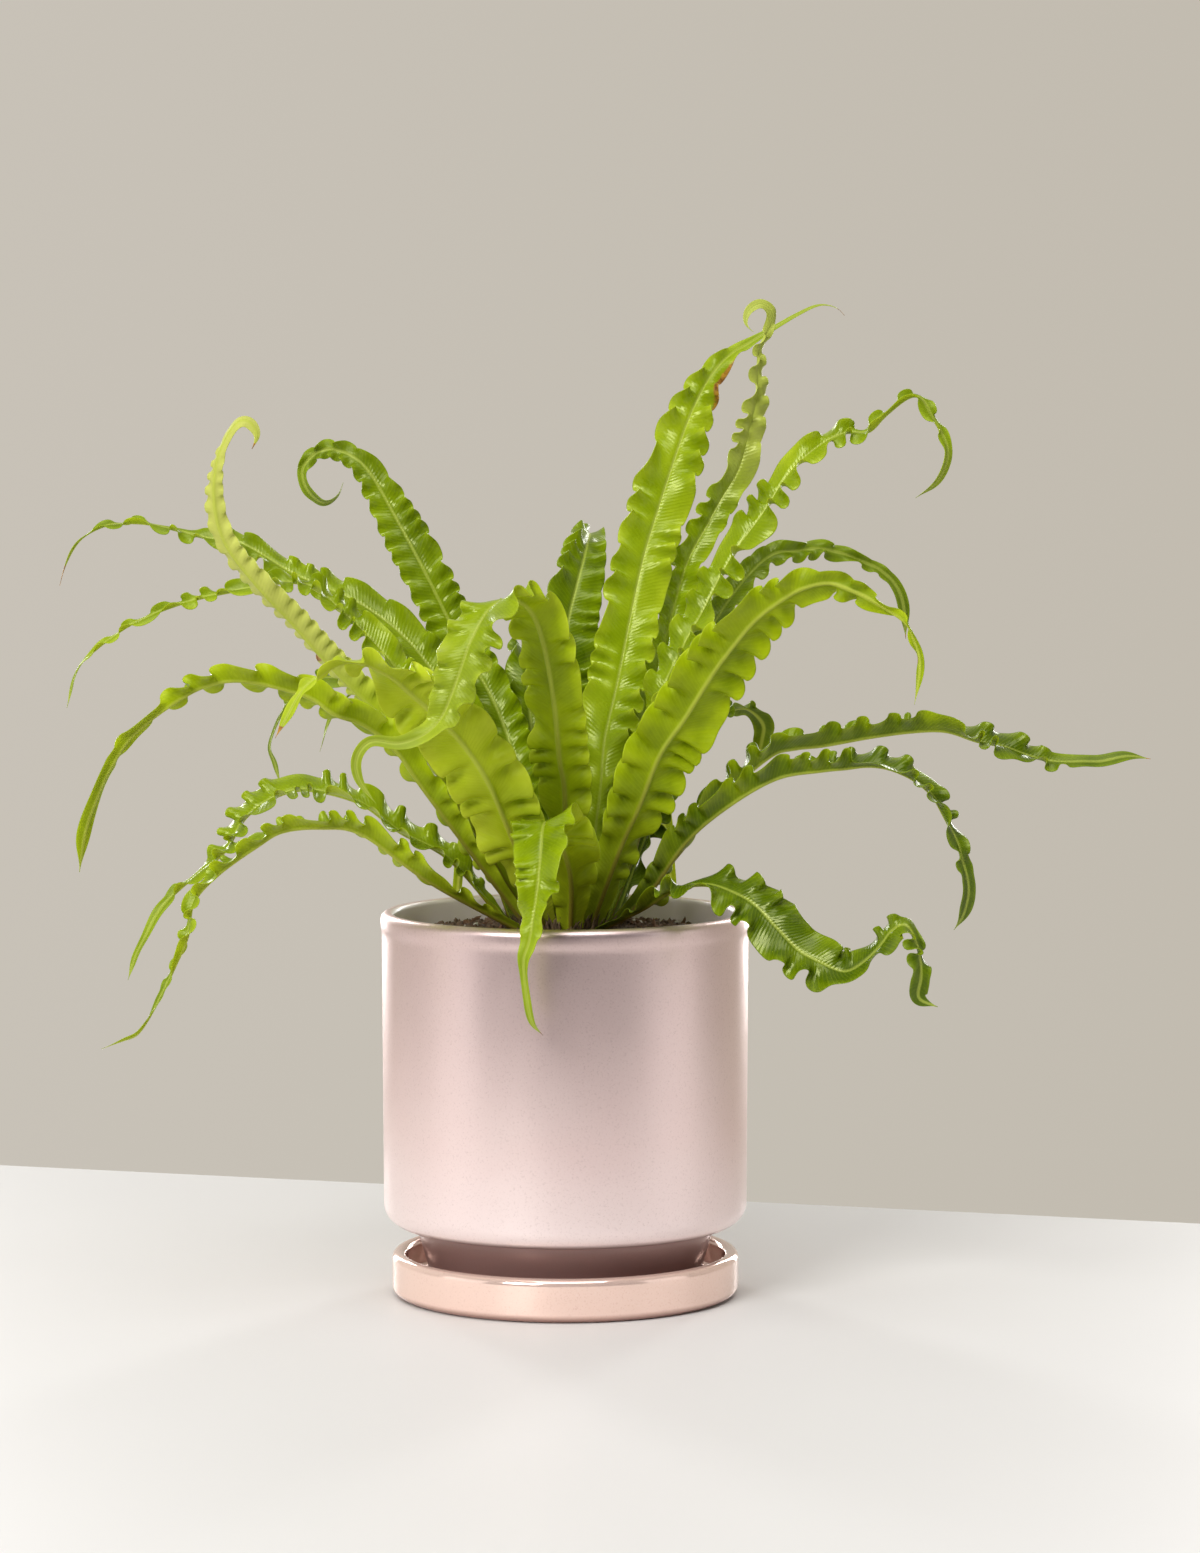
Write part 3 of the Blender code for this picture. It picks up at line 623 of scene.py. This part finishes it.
def carried_faces(path, foot):
    """Upper-side normals carried along the midrib without twisting, starting between up and the axis."""
    tangent = unit(np.gradient(path, axis=0))
    face = np.array((0.0, 0.0, 1.0)) - unit(np.array((*foot, 0.0)))
    faces = np.empty_like(path)
    for index, along in enumerate(tangent):
        face = face - along * face.dot(along)
        face /= np.linalg.norm(face)
        faces[index] = face
    return tangent, faces


def wander(share, count, rng):
    """A slow smooth random line along the blade, about -1 to 1, as sines of rising count and random phase."""
    line = np.zeros_like(share)
    for wave in range(1, count + 1):
        line += np.sin(2 * np.pi * (wave * share + rng.random())) / wave**0.4
    return line / (0.9 * count**0.5)


def edge_waves(habit, along, share, half, rng):
    """Size and phase of one edge's waves: both drift along the blade, and the waves die out at both ends.

    Where the blade is narrower than three quarters of its widest, the waves grow longer.
    """
    height, wave_length, _, _, smooth_tip = habit
    drift = 0.7 * wander(share, 9, rng)
    longer = 1 + 0.35 * smooth_step(0.75, 0.2, half / half.max()) * smooth_step(0.2, 0.4, share)
    turns_made = np.cumsum(np.gradient(along) / (wave_length * MM * longer))
    phase = 2 * np.pi * (turns_made + drift + rng.random())
    swell = smooth_step(0.02, 0.18, share) * (1 - smooth_step(0.88 - smooth_tip, 1.0 - smooth_tip, share))
    size = height * MM * swell * np.clip(0.9 + 0.5 * wander(share, 13, rng), 0.35, 1.35)
    return np.minimum(size, 0.0006 + 0.65 * half), phase


def blade_surface(name, blade, rolls, foot, drawn):
    """Points of a ruffled blade on a share-by-across grid, with its distances across and along.

    point = midrib + side * outwards + face * rise + tangent * lean. Each half of the blade is folded up from
    flat, the edge wave stands square to that half, and the scallop lies in it. With swing = |across|^1.75,
    the edge wave is size * swing * sin(phase), and the scallop is size * swing * (0.30 * cos(phase + 0.5)
    - 0.12).
    The lean follows the wave and takes away a sine of twice the count, which rounds the lobes and steepens
    their flanks until the crests roll over. Narrow stretches also twist to and fro.
    """
    habit = HABIT[name]
    height, wave_length = habit[:2]
    rng = np.random.default_rng(sum(map(ord, name)))
    path, length = through_points(midrib_points(foot, drawn))
    path = rounded(path)
    share = np.linspace(0, 1, ALONG)
    tangent, face = carried_faces(path, foot)
    lower = (rolls[1] - rolls[0]) * smooth_step(0, 0.5, share)
    upper = (rolls[2] - rolls[1]) * smooth_step(0.5, 1, share)
    half = blade_width(blade, share) / 2 * (1 - 0.96 * smooth_step(0.93, 1.0, share) ** 2)
    slow = wander(share, 3, rng)
    quick = wander(share, 8, rng)
    slender = smooth_step(0.9, 0.4, half / half.max()) * smooth_step(0.3, 0.5, share)
    twist = 9 * slow + 26 * quick * slender
    roll = np.radians(rolls[0] + lower + upper + twist)[:, None]
    face = face * np.cos(roll) + np.cross(tangent, face) * np.sin(roll)
    side = np.cross(tangent, face)

    across = np.concatenate((-ACROSS[:0:-1], ACROSS))
    reach = np.abs(across)[None, :]
    sign = np.sign(across)[None, :]
    along = share * length
    sides = [edge_waves(habit, along, share, half, rng) for _ in range(2)]
    left = across[None, :] < 0
    size = np.where(left, sides[0][0][:, None], sides[1][0][:, None])
    phase = np.where(left, sides[0][1][:, None], sides[1][1][:, None])
    half = half[:, None]
    phase = phase - 2 * np.pi * 0.25 * half * reach / (wave_length * MM)
    swing = reach**1.75
    lift = size * swing * np.sin(phase)
    scallop = size * swing * (0.30 * np.cos(phase + 0.5) - 0.12)
    meander = 0.055 * wave_length * MM * np.minimum(1.0, size / (0.6 * height * MM + 1e-9))
    lean = swing * (0.30 * size * np.sin(phase + 0.5) - meander * np.sin(2 * phase))
    fold = fold_at(blade, share)[:, None]
    x = across[None, :] * half
    trough = reach**1.15 * half * np.sin(fold)
    rib = smooth_step(0.99, 0.75, share)[:, None]
    groove = 0.0004 * rib * np.exp(-((x / 0.0008) ** 2))
    outwards = x * np.cos(fold) + sign * (scallop * np.cos(fold) - lift * np.sin(fold))
    rise = trough + scallop * np.sin(fold) + lift * np.cos(fold) - groove
    points = path[:, None, :] + side[:, None, :] * outwards[..., None]
    points = points + face[:, None, :] * rise[..., None]
    points = points + tangent[:, None, :] * lean[..., None]
    return points, share, across, half, along


def both_sides(points, share, across, half):
    """Upper and under layers of a thin blade, half a thickness to each side of its middle surface.

    The thickness shrinks towards the margins and the thin tip, and the under layer carries the raised midrib.
    """
    normal = unit(np.cross(np.gradient(points, axis=1), np.gradient(points, axis=0)))
    reach = np.abs(across)[None, :]
    thick = BLADE_THICKNESS * (1 - 0.55 * reach**2) * np.minimum(1.0, 0.25 + half / 0.004)
    rib = 0.0006 * smooth_step(0.97, 0.3, share)[:, None] * np.exp(-((across[None, :] * half / 0.0007) ** 2))
    rib = np.minimum(rib, 0.4 * half)
    over = points + normal * (thick / 2)[..., None]
    under = points - normal * (thick / 2 + rib)[..., None]
    return over, under


def shell_faces(rows, columns):
    """Quads of two matching grids, the second turned over, and the band of quads that joins their borders."""
    over = grid_faces(rows, columns)
    under = grid_faces(rows, columns)[:, ::-1] + rows * columns
    row = np.arange(rows) * columns
    column = np.arange(columns)
    border = np.concatenate((column[:-1], row[:-1] + columns - 1, column[:0:-1] + row[-1], row[:0:-1]))
    after = np.roll(border, -1)
    shift = rows * columns
    band = np.stack((after, border, border + shift, after + shift), axis=1)
    return over, under, band


def write_uv(mesh, name, values):
    """One UV map from a value pair for each vertex."""
    corners = np.empty(len(mesh.loops), dtype=np.int32)
    mesh.loops.foreach_get("vertex_index", corners)
    layer = mesh.uv_layers.new(name=name)
    layer.data.foreach_set("uv", values[corners].astype(np.float32).ravel())


def rust_share(name, share, across, length):
    """How brown each point is: the dying tip, and the rust patches, which fade out from their middles."""
    dead = HABIT[name][3] * MM / length
    brown = smooth_step(1 - dead, 1 - 0.6 * dead, share)[:, None] * np.ones_like(across)[None, :]
    if dead == 0:
        brown = brown * 0.0
    for side, place, wide, long in RUST.get(name, []):
        away = ((across - side) / wide) ** 2
        off = ((share - place) * length / (long * MM)) ** 2
        brown = np.maximum(brown, np.exp(-1.6 * (off[:, None] + away[None, :])))
    return brown


def leaf_material(name, upper):
    """A satin blade that reads its tone, rust, youth and breadth from the tint attribute.

    Slanted side veins, a midrib (grooved above, raised below), lighter margins, mottling, and brown rust.
    """
    made, shader = material(name, roughness=0.32 if upper else 0.42)
    w = Weave(made)
    place = w.place()
    tint = w.add("ShaderNodeAttribute", attribute_name="tint")
    broad = tint.outputs["Alpha"]
    parts = w.add("ShaderNodeSeparateColor")
    w.join(tint.outputs["Color"], parts.inputs[0])
    tone, rust, youth = parts.outputs[0], parts.outputs[1], parts.outputs[2]
    _, span_u, span_v = w.uv("span")
    _, metre_x, metre_s = w.uv("real")
    off = w.maths("ABSOLUTE", w.maths("MULTIPLY_ADD", span_u, 2.0, -1.0))
    beside = w.maths("ABSOLUTE", metre_x)
    dark, mid, pale = LEAF_TONES[upper]
    mottle = w.noise(place, 55.0, 4.0, 0.6)
    level = w.maths("ADD", tone, w.maths("MULTIPLY_ADD", mottle, 0.9, -0.45))
    level = w.maths("ADD", level, w.maths("MULTIPLY", w.ramp(off, [(0.6, 0.0), (1.0, 1.0)]), 0.22))
    colour = w.ramp(level, [(0.0, dark), (0.5, mid), (1.0, pale)])
    colour = w.mix(youth, colour, (0.56, 0.60, 0.12))
    slant = w.maths("SUBTRACT", metre_s, w.maths("MULTIPLY", beside, 0.6))
    drift = w.maths("MULTIPLY_ADD", w.noise(place, 220.0, 2.0, 0.5), 3.0, w.maths("MULTIPLY", slant, 4400.0))
    vein = w.maths("SINE", drift)
    colour = w.mix(w.maths("MULTIPLY", w.ramp(vein, [(0.55, 0.0), (1.0, 0.10)]), broad), colour, pale)
    # painted shade: each blade is darkened towards its foot, where the fronds crowd together at the crown
    foot = w.ramp(span_v, [(0.0, 1.0), (0.10, 0.5), (0.26, 0.0)])
    if upper:
        rib = w.ramp(w.maths("MULTIPLY", beside, 400.0), [(0.10, 0.6), (0.22, 0.4), (0.38, 0.0)])
        line = w.ramp(w.maths("MULTIPLY", beside, 400.0), [(0.04, 0.35), (0.10, 0.0)])
        colour = w.mix(rib, colour, (0.50, 0.58, 0.09))
        colour = w.mix(line, colour, (0.12, 0.18, 0.01))
        colour = w.mix(w.maths("MULTIPLY", foot, 0.35), colour, (0.12, 0.15, 0.02))
    else:
        rib = w.ramp(w.maths("MULTIPLY", beside, 400.0), [(0.14, 0.75), (0.24, 0.45), (0.40, 0.0)])
        stain = w.ramp(span_v, [(0.0, 1.0), (0.12, 0.7), (0.34, 0.0)])
        rib_colour = w.mix(stain, (0.50, 0.57, 0.07), (0.17, 0.06, 0.015))
        colour = w.mix(rib, colour, rib_colour)
        colour = w.mix(w.maths("MULTIPLY", foot, 0.3), colour, (0.16, 0.13, 0.03))
    eaten = w.noise(place, 380.0, 4.0, 0.65)
    decay = w.maths("MULTIPLY_ADD", eaten, 0.5, w.maths("SUBTRACT", rust, 0.25))
    rusty = w.ramp(decay, [(0.35, 0.0), (0.55, 1.0)])
    bark = w.ramp(eaten, [(0.35, (0.16, 0.05, 0.012)), (0.65, (0.58, 0.30, 0.04))])
    colour = w.mix(rusty, colour, bark)
    specks = w.cells(place, 260.0)
    colour = w.mix(w.ramp(specks, [(0.045, 0.35), (0.075, 0.0)]), colour, pale)
    w.join(colour, shader.inputs["Base Color"])
    gloss = w.noise(place, 130.0, 3.0, 0.6)
    low, high = (0.20, 0.32) if upper else (0.36, 0.50)
    narrow = w.maths("SUBTRACT", 1.0, broad)
    rough = w.maths("MULTIPLY_ADD", narrow, 0.24, w.ramp(gloss, [(0.3, low), (0.7, high)]))
    w.join(rough, shader.inputs["Roughness"])
    ripple = w.bump(w.maths("MULTIPLY", w.noise(place, 200.0, 2.0, 0.5), broad), 0.00022, 0.4)
    w.join(w.bump(w.maths("MULTIPLY", vein, broad), 0.00008, 0.28, ripple), shader.inputs["Normal"])
    shader.inputs["Specular IOR Level"].default_value = 0.5 if upper else 0.3
    shader.inputs["Specular Tint"].default_value = (0.95, 1.0, 0.50, 1.0)
    return made


LEAF_TONES = {
    True: ((0.070, 0.122, 0.001), (0.250, 0.355, 0.002), (0.50, 0.62, 0.02)),
    False: ((0.100, 0.165, 0.001), (0.385, 0.500, 0.003), (0.57, 0.67, 0.03)),
}


def build_frond(name, blade, rolls, foot, drawn, upper, under):
    middle, share, across, half, along = blade_surface(name, blade, rolls, foot, drawn)
    over, below = both_sides(middle, share, across, half)
    rows, columns = over.shape[:2]
    layers = shell_faces(rows, columns)
    points = np.concatenate((over.reshape(-1, 3), below.reshape(-1, 3)))
    obj = piece("blade_" + name.removeprefix("frond_"), points, np.concatenate(layers), upper)
    mesh = obj.data
    mesh.materials.append(under)
    index = np.zeros(len(mesh.polygons), dtype=np.int32)
    index[len(layers[0]) : 2 * len(layers[0])] = 1
    mesh.polygons.foreach_set("material_index", index)
    grid = np.ones((rows, columns))
    span = np.stack((grid * (across * 0.5 + 0.5), grid * share[:, None]), axis=-1).reshape(-1, 2)
    real = np.stack((across * half, grid * along[:, None]), axis=-1).reshape(-1, 2)
    write_uv(mesh, "span", np.concatenate((span, span)))
    write_uv(mesh, "real", np.concatenate((real, real)))
    start, full, most = YOUTH.get(name, (0.0, 1.0, 0.0))
    youth = most * smooth_step(start, full, share)[:, None] * grid
    rust = rust_share(name, share, across, along[-1])
    broad = smooth_step(0.002, 0.006, half) * grid
    # the red channel carries the frond's tone, partly its own green and partly painted shade on the back and
    # right-hand fronds
    tint = np.stack((grid * HABIT[name][2], rust, youth, broad), axis=-1).reshape(-1, 4)
    layer = mesh.color_attributes.new("tint", "FLOAT_COLOR", "POINT")
    layer.data.foreach_set("color", np.concatenate((tint, tint)).astype(np.float32).ravel())
    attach(obj, "root")
    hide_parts(name)


def build_fronds():
    grown = (leaf_material("leaf_upper", True), leaf_material("leaf_under", False))
    young = (leaf_material("young_leaf_upper", True), leaf_material("young_leaf_under", False))
    for name, (blade, rolls, foot, drawn) in FRONDS.items():
        skins = young if name == "frond_left_pale" else grown
        build_frond(name, blade, rolls, foot, drawn, *skins)


# ---------------------------------------------------------------- crown and crumbs

# A twenty-sided ball of unit size
GOLD = (1 + 5**0.5) / 2
BALL_POINTS = unit(
    np.array(
        [
            (-1, GOLD, 0), (1, GOLD, 0), (-1, -GOLD, 0), (1, -GOLD, 0), (0, -1, GOLD), (0, 1, GOLD),
            (0, -1, -GOLD), (0, 1, -GOLD), (GOLD, 0, -1), (GOLD, 0, 1), (-GOLD, 0, -1), (-GOLD, 0, 1),
        ]
    )
)
BALL_FACES = np.array(
    [
        (0, 11, 5), (0, 5, 1), (0, 1, 7), (0, 7, 10), (0, 10, 11), (1, 5, 9), (5, 11, 4), (11, 10, 2),
        (10, 7, 6), (7, 1, 8), (3, 9, 4), (3, 4, 2), (3, 2, 6), (3, 6, 8), (3, 8, 9), (4, 9, 5), (2, 4, 11),
        (6, 2, 10), (8, 6, 7), (9, 8, 1),
    ]
)


def turns(count, rng):
    """Random rotation matrices from normalised random quaternions."""
    w, x, y, z = unit(rng.normal(size=(count, 4))).T
    rows = (
        (1 - 2 * (y * y + z * z), 2 * (x * y - z * w), 2 * (x * z + y * w)),
        (2 * (x * y + z * w), 1 - 2 * (x * x + z * z), 2 * (y * z - x * w)),
        (2 * (x * z - y * w), 2 * (y * z + x * w), 1 - 2 * (x * x + y * y)),
    )
    return np.stack([np.stack(row, axis=-1) for row in rows], axis=1)


def crumbs(name, centres, sizes, made, rng):
    """Many lumps in one mesh: each a jittered twenty-sided ball, scaled, turned and set at its centre."""
    count = len(centres)
    corners = len(BALL_POINTS)
    ball = BALL_POINTS[None] * (1 + 0.22 * rng.normal(size=(count, corners, 1)).clip(-1.5, 1.5))
    points = np.einsum("nij,nkj->nki", turns(count, rng), ball * sizes[:, None, :]) + centres[:, None, :]
    faces = BALL_FACES[None] + corners * np.arange(count)[:, None, None]
    obj = piece(name, points, faces.reshape(-1, 3), made, smooth=False)
    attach(obj, "root")
    return obj


def crumb_material(name, dark, light):
    made, shader = material(name, roughness=0.92)
    w = Weave(made)
    grain = w.noise(w.place(), 420.0, 5.0, 0.7)
    w.join(w.ramp(grain, [(0.32, dark), (0.68, light)]), shader.inputs["Base Color"])
    w.join(w.bump(grain, 0.0004, 0.8), shader.inputs["Normal"])
    return made


def scatter_crumbs():
    rng = np.random.default_rng(5)
    kinds = (
        ("soil_crumbs", 1100, (0.0005, 0.0014), (1, 1, 0.8), (0.045, 0.027, 0.017), (0.22, 0.14, 0.085)),
        ("soil_bark", 130, (0.0010, 0.0021), (1.5, 0.8, 0.35), (0.06, 0.028, 0.014), (0.24, 0.13, 0.07)),
        ("soil_pumice", 46, (0.0007, 0.0014), (1, 1, 0.9), (0.42, 0.38, 0.32), (0.72, 0.69, 0.62)),
    )
    for name, count, (small, large), shape, dark, light in kinds:
        radius = np.sqrt(rng.uniform(CROWN_RADIUS**2, (POT_RADIUS - 0.0066) ** 2, count))
        angle = rng.uniform(0, 2 * np.pi, count)
        size = rng.uniform(small, large, count)
        height = soil_surface(radius, angle) + 0.25 * size
        centres = np.stack((radius * np.cos(angle), radius * np.sin(angle), height), axis=-1)
        crumbs(name, centres, size[:, None] * np.array(shape), crumb_material(name, dark, light), rng)


SCALE_COUNT = 420
SCALE_STEPS = 5


def scale_points(count, rng):
    """Pointed papery scales: strips two points wide that rise from the crown and bend out to a tip."""
    radius = CROWN_RADIUS * np.sqrt(rng.uniform(0.02, 0.96, count))
    angle = rng.uniform(0, 2 * np.pi, count)
    base = np.stack((radius * np.cos(angle), radius * np.sin(angle), crown_surface(radius) - 0.0005), axis=-1)
    out = unit(base * (1, 1, 0) + 0.004 * rng.normal(size=(count, 3)) * (1, 1, 0))
    side = np.cross(out, (0.0, 0.0, 1.0))
    length = rng.uniform(0.003, 0.0075, count)[:, None, None]
    width = rng.uniform(0.0005, 0.0012, count)[:, None, None]
    step = np.linspace(0, 1, SCALE_STEPS)[None, :, None]
    lean = rng.uniform(0.1, 0.8, count)[:, None, None]
    spine = base[:, None, :] + length * (step * (0.0, 0.0, 1.0) + lean * step**2 * out[:, None, :])
    half = width * (1 - step) ** 0.7 * side[:, None, :]
    return np.stack((spine - half, spine + half), axis=2)


def build_crown():
    made, shader = material("crown fibre", roughness=0.9)
    w = Weave(made)
    fibre = w.noise(w.stretch(w.place(), (1, 1, 0.25)), 500.0, 5.0, 0.7)
    brown, tan = (0.05, 0.03, 0.015), (0.22, 0.15, 0.07)
    w.join(w.ramp(fibre, [(0.3, brown), (0.7, tan)]), shader.inputs["Base Color"])
    w.join(w.bump(fibre, 0.001, 0.8), shader.inputs["Normal"])
    radius = np.linspace(0, CROWN_RADIUS, 24)
    dome = np.stack((radius, crown_surface(radius)), axis=1)
    drop = crown_surface(CROWN_RADIUS) - 0.006
    outline = np.concatenate((dome, arc(CROWN_RADIUS - 0.006, drop, 0.006, 0, -90, 8), [[0.0, drop - 0.006]]))
    crown = turned("crown_stump", outline, made, around=96)
    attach(crown, "root")
    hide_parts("crown")
    points = scale_points(SCALE_COUNT, np.random.default_rng(9))
    strip = grid_faces(SCALE_STEPS, 2)
    faces = strip[None] + 2 * SCALE_STEPS * np.arange(SCALE_COUNT)[:, None, None]
    scales = piece("crown_scales", points, faces.reshape(-1, 4), made)
    skin = scales.modifiers.new("thickness", "SOLIDIFY")
    skin.thickness = 0.0001
    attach(scales, "root")


# ---------------------------------------------------------------- table, lights and camera


def build_table():
    """A thick pale table top whose back edge runs slantwise behind the pot and whose front ends before it."""
    made, shader = material("pale table", roughness=0.5)
    w = Weave(made)
    cloud = w.noise(w.place(), 3.0, 2.0, 0.5)
    chalk, milk = (0.735, 0.732, 0.725), (0.765, 0.762, 0.757)
    w.join(w.ramp(cloud, [(0.3, chalk), (0.7, milk)]), shader.inputs["Base Color"])
    slope = math.radians(-17.0)
    along = np.array((math.cos(slope), math.sin(slope)))
    inward = np.array((math.sin(slope), -math.cos(slope)))
    middle = np.array((0.0, 0.231))
    wide, deep, thick = 1.3, 0.80, 0.03
    ends = (middle - along * wide, middle + along * wide)
    outline = [*ends, ends[1] + inward * deep, ends[0] + inward * deep]
    top = [(*corner, 0.0) for corner in outline]
    bottom = [(*corner, -thick) for corner in outline]
    faces = [(3, 2, 1, 0), (4, 5, 6, 7), (0, 1, 5, 4), (1, 2, 6, 5), (2, 3, 7, 6), (3, 0, 4, 7)]
    mesh = bpy.data.meshes.new("table_top")
    mesh.from_pydata(top + bottom, [], faces)
    mesh.materials.append(made)
    obj = bpy.data.objects.new("table_top", mesh)
    bpy.context.scene.collection.objects.link(obj)


def softbox(name, place, target, size, power, colour=(1, 1, 1)):
    lamp = bpy.data.lights.new(name, "AREA")
    lamp.shape = "RECTANGLE"
    lamp.size, lamp.size_y = size
    lamp.energy = power
    lamp.color = colour
    obj = bpy.data.objects.new(name, lamp)
    obj.location = place
    obj.rotation_euler = (Vector(target) - Vector(place)).to_track_quat("-Z", "Y").to_euler()
    obj.visible_camera = False
    bpy.context.scene.collection.objects.link(obj)


def build_light():
    world = bpy.data.worlds.new("studio")
    bpy.context.scene.world = world
    world.use_nodes = True
    w = Weave(world)
    way = w.add("ShaderNodeTexCoord").outputs["Generated"]
    split = w.add("ShaderNodeSeparateXYZ")
    w.join(way, split.inputs[0])
    back = w.ramp(w.maths("MULTIPLY_ADD", split.outputs[1], 0.5, 0.5), [(0.2, 0.0), (0.8, 1.0)])
    left_wall, right_wall = (0.60, 0.56, 0.50), (0.52, 0.48, 0.41)
    sideways = w.maths("MULTIPLY_ADD", split.outputs[0], 1.8, 0.5)
    wall = w.ramp(sideways, [(0.0, left_wall), (1.0, right_wall)])
    sky = w.mix(back, (0.065, 0.055, 0.065), wall)
    w.join(sky, world.node_tree.nodes["Background"].inputs["Color"])
    softbox("key", (-1.0, -1.7, 1.3), (0, 0, 0.14), (0.9, 0.9), 33.5, (1.0, 0.985, 0.96))
    softbox("left_card", (-1.4, -0.5, 0.35), (0, 0, 0.1), (0.9, 0.9), 2.0)
    softbox("right_card", (1.4, -0.5, 0.45), (0, 0, 0.1), (0.9, 1.1), 2.2)
    softbox("left_strip", (-0.72, 1.5, 0.5), (0, 0, 0.1), (0.22, 1.2), 9.0)
    softbox("right_strip", (0.72, 1.5, 0.5), (0, 0, 0.1), (0.22, 1.2), 9.0)
    softbox("top", (0.1, -0.8, 1.9), (0, 0, 0.1), (1.2, 1.2), 15.0)


def build_camera():
    camera = bpy.data.cameras.new("camera")
    camera.sensor_width = 36.0
    camera.lens = 110.0
    obj = bpy.data.objects.new("camera", camera)
    obj.location = (0.0, -1.79, 0.333)
    aim = Vector((0.0132, 0.0, 0.197))
    obj.rotation_euler = (aim - obj.location).to_track_quat("-Z", "Y").to_euler()
    bpy.context.scene.collection.objects.link(obj)
    bpy.context.scene.camera = obj


def build():
    build_camera()
    build_light()
    build_table()
    build_pottery()
    build_soil()
    scatter_crumbs()
    build_crown()
    build_fronds()


bpy.context.scene.view_settings.view_transform = "Standard"
build()
